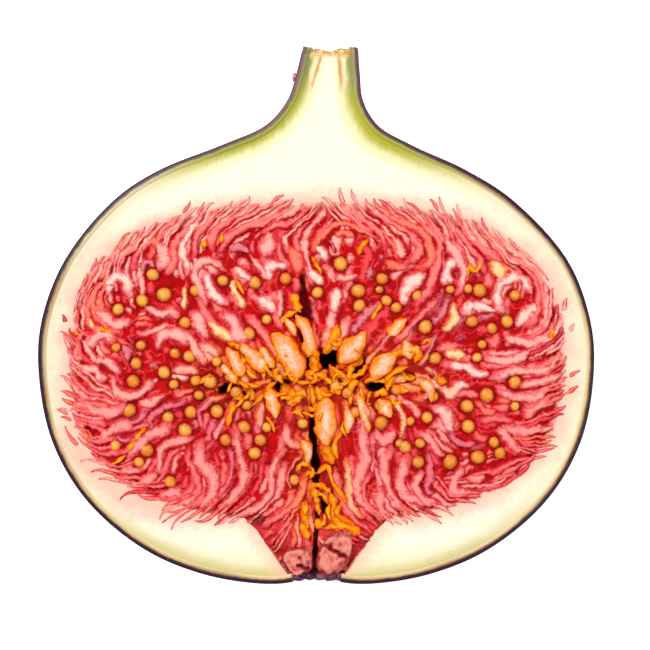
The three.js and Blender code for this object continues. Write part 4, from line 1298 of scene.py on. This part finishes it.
def split_position(socket):
    """The X, Y and Z of the points of a geometry, in the tree of a socket."""
    parts = socket.add("ShaderNodeSeparateXYZ", inputs={0: socket.add("GeometryNodeInputPosition")})
    return [Socket(socket.tree, output) for output in parts.output.node.outputs]


def sweep_tree():
    """Geometry nodes that run a flattened round section along paths, as wide as their half widths say."""
    names = ("Crown", "Depth", "Lump size", "Lump height", "Top")
    given = {"Paths": "Geometry", "Sides": "Int"} | dict.fromkeys(names, "Float") | {"Finish": "Material"}
    sockets = node_tree("tube_along_paths", given, "Tubes")
    paths, sides, crown, depth, lump_size, lump_height, top, finish = sockets
    group = paths.tree
    circle = paths.add("GeometryNodeCurvePrimitiveCircle", inputs={"Resolution": sides, "Radius": 1.0})
    spot, down, _ = split_position(paths)
    section = down.maths("MAXIMUM", down, 0.0) * depth + down.maths("MINIMUM", down, 0.0) * crown
    wide = spot * (1.25 - 0.25 * (spot * spot))
    place = paths.add("ShaderNodeCombineXYZ", inputs={"X": wide, "Y": section})
    stored = {"data_type": "FLOAT", "domain": "POINT"}
    shares = {"Geometry": circle, "Name": "across", "Value": spot}
    circle = paths.add("GeometryNodeStoreNamedAttribute", stored, shares)
    circle = paths.add("GeometryNodeSetPosition", inputs={"Geometry": circle, "Position": place})
    curve = paths.add("GeometryNodeMeshToCurve", inputs={0: paths})
    curve = paths.add("GeometryNodeSetCurveNormal", {"mode": "Z_UP"}, {0: curve})
    half = paths.add("GeometryNodeInputNamedAttribute", {"data_type": "FLOAT"}, {"Name": "half"})
    tubes = {"Curve": curve, "Profile Curve": circle, "Scale": half, "Fill Caps": True}
    tubes = paths.add("GeometryNodeCurveToMesh", inputs=tubes)
    noise = paths.add("ShaderNodeTexNoise", inputs={"Scale": 1 / lump_size, "Detail": 2.0})
    out = {0: paths.add("GeometryNodeInputNormal"), "Scale": (noise - 0.5) * lump_height}
    push = paths.add("ShaderNodeVectorMath", {"operation": "SCALE"}, out)
    tubes = paths.add("GeometryNodeSetPosition", inputs={"Geometry": tubes, "Offset": push})
    x, y, z = split_position(paths)
    under = paths.add("ShaderNodeCombineXYZ", inputs={"X": x, "Y": y, "Z": z.maths("MINIMUM", z, top)})
    tubes = paths.add("GeometryNodeSetPosition", inputs={"Geometry": tubes, "Position": under})
    tubes = paths.add("GeometryNodeSetShadeSmooth", inputs={0: tubes})
    tubes = paths.add("GeometryNodeRealizeInstances", inputs={0: tubes})
    tubes = paths.add("GeometryNodeSetMaterial", inputs={"Geometry": tubes, "Material": finish})
    group.links.new(tubes.output, group.nodes.new("NodeGroupOutput").inputs[0])
    return group


def apply_nodes(piece, group, **values):
    """Runs a node tree on a piece with the given values, and keeps the result as its plain mesh."""
    modifier = piece.modifiers.new("nodes", "NODES")
    modifier.node_group = group
    for item in group.interface.items_tree:
        if item.in_out == "INPUT" and item.name in values:
            modifier[item.identifier] = values[item.name]
    graph = bpy.context.evaluated_depsgraph_get()
    mesh = bpy.data.meshes.new_from_object(piece.evaluated_get(graph))
    piece.modifiers.clear()
    piece.data = mesh


def tubes_along(name, lines, group, finish, **values):
    """One piece of tubes. A line has its colours, spots, half widths and depths under the cut face."""
    crown = values["Crown"]
    points, edges, half, along, middle, edge = [], [], [], [], [], []
    for kind, spots, widths, sunk in lines:
        first = len(points)
        z = CUT - sunk - crown * widths
        points += np.column_stack([spots, z]).tolist()
        edges += [(first + i, first + i + 1) for i in range(len(spots) - 1)]
        half += widths.tolist()
        along += np.linspace(0, 1, len(spots)).tolist()
        middle_colour, edge_colour = map(colour, FLORET_COLOURS[kind])
        middle += [middle_colour] * len(spots)
        edge += [edge_colour] * len(spots)
    mesh = bpy.data.meshes.new(name)
    mesh.from_pydata(points, edges, [])
    for key, numbers in (("half", half), ("along", along), ("middle", middle), ("edge", edge)):
        store(mesh, key, numbers)
    piece = linked(name, mesh)
    apply_nodes(piece, group, Finish=finish.material, Top=CUT - BELOW_CUT, **values)
    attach(piece, "root")
    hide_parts("pulp")


tube_nodes = sweep_tree()
soft = {"Crown": FLORET_CROWN, "Depth": FLORET_DEPTH, "Lump size": 0.7 * MM, "Lump height": 0.12 * MM}
tubes_along("rim_hooks", rim_hooks, tube_nodes, petal, Sides=8, **soft)
soft |= {"Lump size": 0.85 * MM, "Lump height": 1.1 * MM}
tubes_along("golden_florets", golden_florets, tube_nodes, golden_petal, Sides=20, **soft)

# The seeds. Each fertile floret holds one hard tan seed, round as a pin's head, and the knife leaves them
# standing in the juice. They are the same little ball, turned at random, one at each place.
SEED_TOP = 0.06 * MM


def seed_tree():
    """Geometry nodes that put one ball at each point, as large as its radius says and turned at random."""
    given = {"Points": "Geometry", "Rings": "Int", "Flatness": "Float", "Finish": "Material"}
    points, rings, flatness, finish = node_tree("seed_at_each_point", given, "Seeds")
    group = points.tree
    ball = points.add("GeometryNodeMeshIcoSphere", inputs={"Radius": 1.0, "Subdivisions": rings})
    ball = points.add("GeometryNodeSetShadeSmooth", inputs={0: ball})
    radius = points.add("GeometryNodeInputNamedAttribute", {"data_type": "FLOAT"}, {"Name": "radius"})
    turns = {0: (0, 0, 0), 1: (0.5, 0.5, 6.28), "Seed": 3}
    turn = points.add("FunctionNodeRandomValue", {"data_type": "FLOAT_VECTOR"}, turns)
    sizes = {"X": radius, "Y": radius * 1.08, "Z": radius * flatness}
    size = points.add("ShaderNodeCombineXYZ", inputs=sizes)
    on_points = {"Points": points, "Instance": ball, "Rotation": turn, "Scale": size}
    seeds = points.add("GeometryNodeInstanceOnPoints", inputs=on_points)
    tone = points.add("FunctionNodeRandomValue", {"data_type": "FLOAT"}, {2: 0.0, 3: 1.0}, output=1)
    stored = {"data_type": "FLOAT", "domain": "INSTANCE"}
    tones = {"Geometry": seeds, "Name": "tone", "Value": tone}
    seeds = points.add("GeometryNodeStoreNamedAttribute", stored, tones)
    seeds = points.add("GeometryNodeRealizeInstances", inputs={0: seeds})
    seeds = points.add("GeometryNodeSetMaterial", inputs={"Geometry": seeds, "Material": finish})
    group.links.new(seeds.output, group.nodes.new("NodeGroupOutput").inputs[0])
    return group


kernel = Finish("seed_coat", Roughness=0.35, Specular_IOR_Level=0.2, Coat_Weight=0.25, Coat_Roughness=0.08)
tone = kernel.attribute("tone")
level = kernel.along_axis(2)
# Painted light and shade: each seed is paler at its top and turns dark brown down its sides.
painted_top_light = (level + (kernel.noise(0.5 * MM) - 0.5) * (0.3 * MM)).step(CUT - 0.62 * MM, CUT - 0.08 * MM)
shade = tone.step(0.0, 1.0).mix("e8801a", "f8a63a")
shade = painted_top_light.mix("b04a0c", shade)
shade = (kernel.noise(0.22 * MM, detail=3).step(0.5, 0.75) * 0.5).mix(shade, "f7cf85")
kernel.feed(Base_Color=shade)
kernel.bump(kernel.noise(0.2 * MM), 0.02 * MM, 0.4)

seed_points = np.column_stack([seed_spots, CUT - SEED_TOP - 1.05 * seed_half])
seed_mesh = bpy.data.meshes.new("seeds")
seed_mesh.from_pydata(seed_points.tolist(), [], [])
store(seed_mesh, "radius", seed_half)
seeds = linked("seeds", seed_mesh)
apply_nodes(seeds, seed_tree(), Rings=3, Flatness=0.95, Finish=kernel.material)
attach(seeds, "root")
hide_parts("pulp")

# The shreds. Round the hollow and beside the crack the dried tips of the florets stand out as curled
# yellow flakes, torn by the knife. The large ones are listed one by one, like the florets.
SHREDS_MM = (
    (0.16, (-6.5, -9.2), (-5.5, -8.2), (-4.7, -7.2), (-4.0, -6.7)),
    (0.2, (1.4, -5.2), (2.2, -5.8), (3.4, -6.8)),
    (0.22, (3.5, -6.3), (4.5, -5.8), (5.0, -5.0)),
    (0.16, (4.8, -6.8), (5.5, -6.5), (6.2, -6.8)),
    (0.2, (6.8, -7.0), (7.5, -6.0), (8.3, -5.5), (9.2, -5.2)),
    (0.26, (-0.1, -3.6), (-0.1, -4.8), (-0.2, -5.8)),
    (0.26, (-0.8, -6.5), (0.2, -6.0), (1.1, -6.3)),
    (0.14, (-2.9, -6.2), (-1.6, -6.8), (-0.5, -6.8)),
    (0.24, (-8.8, -2.9), (-8.1, -3.0), (-7.7, -3.5)),
    (0.12, (-8.9, -7.8), (-8.6, -7.0), (-8.3, -6.3)),
    (0.16, (-8.2, -9.3), (-7.7, -8.9), (-7.3, -8.3)),
    (0.2, (-8.9, -11.2), (-8.7, -10.2), (-8.2, -8.9)),
    (0.14, (-5.0, -10.2), (-4.5, -10.9), (-4.2, -11.8)),
    (0.22, (-2.5, -9.9), (-1.9, -9.7), (-1.4, -10.3)),
    (0.2, (2.5, -11.8), (1.9, -12.7), (1.8, -13.4), (2.1, -14.4)),
    (0.36, (0.7, -13.2), (1.2, -13.8), (1.6, -14.8)),
    (0.18, (0.1, -15.9), (1.1, -15.2), (1.6, -16.8), (2.4, -17.9), (3.0, -18.9)),
    (0.24, (-0.7, -17.2), (0.3, -17.1), (1.4, -17.8)),
    (0.16, (-0.3, -17.8), (0.7, -18.1), (1.2, -19.1)),
    (0.32, (1.4, -17.9), (1.8, -19.2), (1.4, -20.4)),
    (0.2, (2.5, -18.9), (2.0, -19.8), (2.5, -20.4), (3.4, -20.9)),
    (0.18, (0.1, -21.2), (0.7, -20.9), (0.8, -19.9)),
    (0.32, (0.9, -21.4), (2.2, -21.1), (3.5, -21.4), (4.3, -21.9)),
    (0.12, (-0.6, -15.2), (-0.3, -15.8), (-0.7, -16.4)),
    (0.2, (-2.0, -15.6), (-1.4, -14.9), (-0.7, -15.2)),
    (0.18, (-1.1, -16.1), (-0.7, -15.8), (-0.1, -15.9)),
    (0.22, (-1.2, -20.1), (-1.1, -19.2), (-1.1, -18.6)),
    (0.3, (-1.6, -20.9), (-1.1, -21.8), (-0.8, -22.4)),
    (0.3, (-0.2, -17.4), (-0.1, -18.1), (0.1, -18.9)),
    (0.18, (-0.5, 5.8), (-0.1, 5.2), (0.5, 4.2)),
    (0.2, (4.2, 6.0), (4.5, 6.8), (5.2, 7.5)),
    (0.16, (-8.3, 3.9), (-7.8, 3.0), (-7.3, 2.1)),
    (0.36, (-2.4, 2.1), (-2.0, 1.1), (-1.8, 0.3)),
    (0.24, (-2.5, 1.2), (-1.9, 0.8), (-1.6, 0.2)),
    (0.22, (-3.5, -0.9), (-3.0, -0.1), (-2.0, 0.3)),
    (0.16, (5.5, -0.5), (6.0, 0.3), (6.5, 1.1)),
    (0.26, (9.2, -3.8), (9.8, -3.4), (10.4, -3.6)),
    (0.14, (10.6, -2.9), (11.2, -2.5), (11.4, -3.0)),
    (0.22, (-21.9, -1.4), (-21.1, -1.6), (-20.4, -1.9)),
    (0.2, (-24.2, -1.4), (-23.9, -2.2)),
    (0.24, (23.4, -2.5), (23.6, -1.6), (23.8, -0.7)),
    (0.18, (-18.9, -13.6), (-18.2, -12.7), (-17.6, -11.8), (-17.1, -11.4)),
    (0.16, (-20.9, -15.2), (-20.1, -14.8), (-19.1, -14.1)),
    (0.28, (-11.3, 6.7), (-11.2, 7.5)),
    (0.22, (-9.6, 7.2), (-9.4, 8.1)),
    (0.2, (15.2, 3.8), (15.3, 4.8), (15.9, 4.3), (16.4, 5.2), (16.1, 5.8)),
    (0.14, (0.1, -8.6), (0.5, -9.6), (0.2, -10.7)),
    (0.16, (1.4, -20.6), (1.1, -19.6), (1.4, -18.9)),
    (0.15, (2.9, -10.6), (2.5, -11.3), (3.0, -12.2)),
    (0.18, (-5.5, -4.8), (-4.7, -5.8), (-4.0, -6.5)),
    (0.14, (-7.0, -6.8), (-6.2, -7.2), (-5.5, -7.0)),
    (0.16, (8.7, -5.8), (9.2, -6.5), (9.9, -6.2)),
)
FLAKES = 45
FLAKES_MIDDLE_MM = (-0.3, -6.6)
FLAKES_SPREAD_MM = (5.0, 1.7)
FLAKE_STEP_MM = 0.5
flakes = []
for spot in draw.normal(FLAKES_MIDDLE_MM, FLAKES_SPREAD_MM, (FLAKES, 2)):
    turn, bend = draw.uniform(0, 2 * np.pi), draw.uniform(-1.2, 1.2)
    steps = [FLAKE_STEP_MM * np.array((np.cos(turn + bend * k), np.sin(turn + bend * k))) for k in range(3)]
    flakes.append((draw.uniform(0.12, 0.3), *np.cumsum([spot, *steps], axis=0)))
shreds = []
for half, *points in (*SHREDS_MM, *flakes):
    spots = path_through(points)
    along = np.linspace(0, 1, len(spots))
    ragged = 0.75 + 0.3 * np.sin(along * draw.uniform(9, 16) + draw.uniform(0, 6))
    widths = 1.7 * half * MM * ragged * rounded_ends(len(spots), half * MM)
    sunk = (0.03 + 0.16 * (1 + np.sin(along * draw.uniform(3, 6) + draw.uniform(0, 6)))) * MM
    shreds.append(("yellow", spots, widths, sunk))
thin = {"Crown": 0.2, "Depth": 0.45, "Lump size": 0.6 * MM, "Lump height": 0.42 * MM}
tubes_along("yellow_shreds", shreds, tube_nodes, golden_petal, Sides=10, **thin)

# The eye scales. Small tough bracts close the fig's eye. Two thick pink ones are cut through beside the
# crack, their faces wrinkled as they dried, and thin purple ones overlap round the opening behind them.
SCALE_TOP = 0.1 * MM
CUT_SCALES_MM = (
    (
        2.2,
        (
            (-3.5, -24.2), (-2.7, -23.5), (-1.2, -23.4), (-0.5, -24.3),
            (-0.7, -25.7), (-2.0, -26.3), (-3.0, -25.5),
        ),
        ((-1.9, -25.1), (-0.8, -25.5)),
    ),
    (
        2.4,
        (
            (0.1, -24.0), (0.8, -22.4), (2.3, -21.7), (3.7, -22.3),
            (3.7, -23.6), (2.7, -25.4), (1.2, -26.3), (0.1, -25.6),
        ),
        ((0.8, -23.1), (2.9, -24.3)),
    ),
)
SCALE_RINGS = 26
SCALE_AROUND = 90
SLIT_DEPTH_MM = 0.6
SLIT_HALF_MM = 0.16
BRACT_GRID = (12, 20)
BRACT_BELOW_CUT = 0.005 * MM


def lump(outline, slit, depth, seed):
    """A closed lump under the cut face: a folded top with a slit, and a side that narrows downwards."""
    closed = np.array([*outline, outline[0]])
    overlapped = np.vstack([closed[-3:-1], closed, closed[1:3]])
    edge_line = through(overlapped, np.linspace(0, 1, 4 * SCALE_AROUND))
    turns = np.linspace(0, 2 * np.pi, SCALE_AROUND, endpoint=False)
    middle_spot = np.mean(outline, axis=0)
    angles = np.arctan2(*(edge_line - middle_spot).T[::-1]) % (2 * np.pi)
    order = np.argsort(angles)
    far = np.hypot(*(edge_line - middle_spot).T)[order]
    reach = np.interp(turns, angles[order], far, period=2 * np.pi)
    share = np.concatenate([np.linspace(0, 1, SCALE_RINGS), np.full(5, 1.0), np.linspace(0.9, 0, 6)])
    drop = np.concatenate([np.zeros(SCALE_RINGS), np.linspace(0.25, 1, 5), np.ones(6)]) * depth
    ways = np.stack([np.cos(turns), np.sin(turns)], axis=1)
    spots = middle_spot + share[:, None, None] * reach[:, None] * ways
    narrowed = 1 - 0.12 * drop[SCALE_RINGS:, None, None]
    spots[SCALE_RINGS:] = middle_spot + (spots[SCALE_RINGS:] - middle_spot) * narrowed
    top = np.arange(len(share)) < SCALE_RINGS
    folds = 0.1 * np.sin(12 * share[:, None] + 2.2 * flat_lumps(spots, 1.3, seed))
    folds = folds + 0.12 * flat_lumps(spots, 0.5, seed + 1)
    slit_spots = np.linspace(*slit, 12)
    slit_spots[:, 1] += 0.08 * np.sin(7 * slit_spots[:, 0])
    from_slit = np.min(np.linalg.norm(spots[:, :, None] - slit_spots, axis=3), axis=2)
    folds = folds - SLIT_DEPTH_MM * np.exp(-((from_slit / SLIT_HALF_MM) ** 2))
    folds = folds - 0.3 * smooth((share[:, None] - 0.75) / 0.25)
    z = -drop[:, None] + np.where(top[:, None], np.minimum(folds, 0.08), -0.3)
    points = np.concatenate([spots * MM, (CUT - SCALE_TOP + z * MM)[..., None]], axis=2)
    return points, folds * np.where(top, 1, 0)[:, None]


def bract(x, drop, turn, size, reach):
    """A thin scale, by its place, its tilt and its half sizes: a ball squashed flat, a little lumpy."""
    rows, around = BRACT_GRID
    spins = np.linspace(0, 2 * np.pi, around, endpoint=False)
    tilt, spin = np.meshgrid(np.linspace(0, np.pi, rows), spins, indexing="ij")
    ball = np.stack([np.sin(tilt) * np.cos(spin), np.cos(tilt), np.sin(tilt) * np.sin(spin)], axis=2)
    uneven = lumps(ball.reshape(-1, 3), 0.7, int(50 + 9 * x)).reshape(rows, around, 1)
    ball = ball * (1 + 0.12 * uneven) * size
    across = ball[..., 0] * np.cos(turn) - ball[..., 2] * np.sin(turn)
    up = ball[..., 0] * np.sin(turn) + ball[..., 2] * np.cos(turn)
    z = np.minimum(CUT + (up - drop) * MM, CUT - BRACT_BELOW_CUT)
    y = np.maximum((reach + ball[..., 1]) * MM, cad_low.y + INSIDE_BOUNDS)
    return np.stack([(x + across) * MM, y, z], axis=2), ball[..., 0] * 0


scale_points, scale_faces, scale_fold, scale_tone = [], [], [], []
scale_parts = []
for i, (depth, outline, slit) in enumerate(CUT_SCALES_MM):
    scale_parts.append((*lump(outline, slit, depth, 60 + i), 0.0))
EYE_BRACTS = 6
EYE_REACH_MM = -26.15
for i, angle in enumerate(np.linspace(0.12, np.pi - 0.12, EYE_BRACTS)):
    spread = 1.5 if i % 2 else 1.9
    spot = (spread * np.cos(angle), 0.95 + spread * np.sin(angle), angle - np.pi / 2)
    scale_parts.append((*bract(*spot, (1.1, 0.45, 0.7), EYE_REACH_MM + 0.05 * (i % 2)), 1.0))
EDGE_BRACTS_MM = (
    (-2.5, -26.3, (0.35, 0.45, 0.3), 0.15),
    (-1.7, -26.35, (0.75, 0.38, 0.5), 1.0),
    (-0.6, -26.25, (0.7, 0.4, 0.5), 1.0),
    (0.4, -26.3, (0.65, 0.4, 0.5), 0.85),
    (1.4, -26.35, (0.7, 0.4, 0.5), 1.0),
    (2.3, -26.3, (0.45, 0.4, 0.4), 0.9),
    (2.75, -26.35, (0.3, 0.4, 0.3), 0.15),
    (-1.9, -26.0, (0.8, 0.14, 0.3), 0.1),
)
for x, reach, size, tone in EDGE_BRACTS_MM:
    scale_parts.append((*bract(x, 0.55, 0.2 * x, size, reach), tone))
for points, fold, tone in scale_parts:
    first = sum(len(p) for p in scale_points)
    rows, columns, _ = points.shape
    scale_points.append(points.reshape(-1, 3))
    scale_faces += [tuple(first + k for k in face) for face in grid_faces(rows, columns)]
    scale_fold.append(fold.ravel())
    scale_tone.append(np.full(rows * columns, tone))
scales = mesh_piece(
    "eye_scales_cut",
    np.concatenate(scale_points),
    scale_faces,
    [("fold", np.concatenate(scale_fold)), ("tone", np.concatenate(scale_tone))],
)

husk = Finish("dried_scale", Roughness=0.4, Specular_IOR_Level=0.2, Coat_Weight=0.1, Coat_Roughness=0.2)
cloud = husk.noise(0.7 * MM, detail=4)
fine = husk.noise(0.2 * MM, detail=4)
# Painted shade and light: the cut faces turn dark red down in their folds and the slit, and pale pink on the
# ridges.
pink = (husk.attribute("fold") + (cloud - 0.5) * 0.3).step(-0.3, 0.06).mix("98141f", "ec8a7a")
pink = (fine.step(0.45, 0.7) * 0.5).mix(pink, "b9604c")
purple = cloud.step(0.35, 0.7).mix("2a1028", "6a3450")
shade = husk.attribute("tone").mix(pink, purple)
husk.feed(Base_Color=shade)
husk.bump(fine + cloud, 0.08 * MM, 0.7)
finish_piece(scales, husk)
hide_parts("eye_scales")

# The neck's scales. A few small withered bracts lie flat on the stalk, and the knife passed one on its
# left side.
NECK_SCALES_MM = (
    (-2.16, 23.75, 0.34, (0.27, 0.46, 0.32), 0.0),
    (-0.6, 22.6, 3.2, (0.6, 0.85, 0.4), 0.4),
    (3.6, 23.2, 2.6, (0.6, 0.85, 0.4), -0.8),
)
neck_parts = [bract(x, drop, turn, size, y)[0] for x, y, drop, size, turn in NECK_SCALES_MM]
rows, columns, _ = neck_parts[0].shape
neck_faces = []
for first in range(0, len(neck_parts) * rows * columns, rows * columns):
    neck_faces += [tuple(first + k for k in face) for face in grid_faces(rows, columns)]
neck_scales = mesh_piece("neck_scales", np.concatenate(neck_parts).reshape(-1, 3), neck_faces)
withered = Finish("withered_scale", Roughness=0.55, Specular_IOR_Level=0.15)
cloud = withered.noise(0.4 * MM, detail=4)
withered.feed(Base_Color=cloud.step(0.35, 0.65).mix("8c3848", "d89088"))
withered.bump(cloud, 0.05 * MM, 0.6)
finish_piece(neck_scales, withered)
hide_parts("skin")

# The light and the ground. A plain white table stands under two broad soft lights, as in a studio, and a
# small one that glints in the juice.
floor_mesh = bpy.data.meshes.new("floor")
far = 1.5
floor_mesh.from_pydata([(-far, -far, 0), (far, -far, 0), (far, far, 0), (-far, far, 0)], [], [(0, 1, 2, 3)])
floor = linked("floor", floor_mesh)
white = Finish(
    "white_table",
    Roughness=0.7,
    Base_Color=colour("f4f4f4"),
    Emission_Color=(1, 1, 1, 1),
    Emission_Strength=0.6,
)
floor.data.materials.append(white.material)

world = bpy.data.worlds.new("studio")
world.use_nodes = True
world.node_tree.nodes["Background"].inputs["Color"].default_value = (1, 1, 1, 1)
world.node_tree.nodes["Background"].inputs["Strength"].default_value = 0.52
bpy.context.scene.world = world
bpy.context.scene.view_settings.view_transform = "Standard"

for name, place, size, power in (
    ("key", (-0.22, 0.24, 0.34), 0.22, 1.5),
    ("fill", (0.3, -0.1, 0.3), 0.35, 0.5),
    ("glint", (-0.12, 0.14, 0.42), 0.014, 0.2),
):
    data = bpy.data.lights.new(name, "AREA")
    data.size, data.energy = size, power
    lamp = linked(name, data)
    lamp.location = place
    lamp.rotation_euler = (-Vector(place)).to_track_quat("-Z", "Y").to_euler()
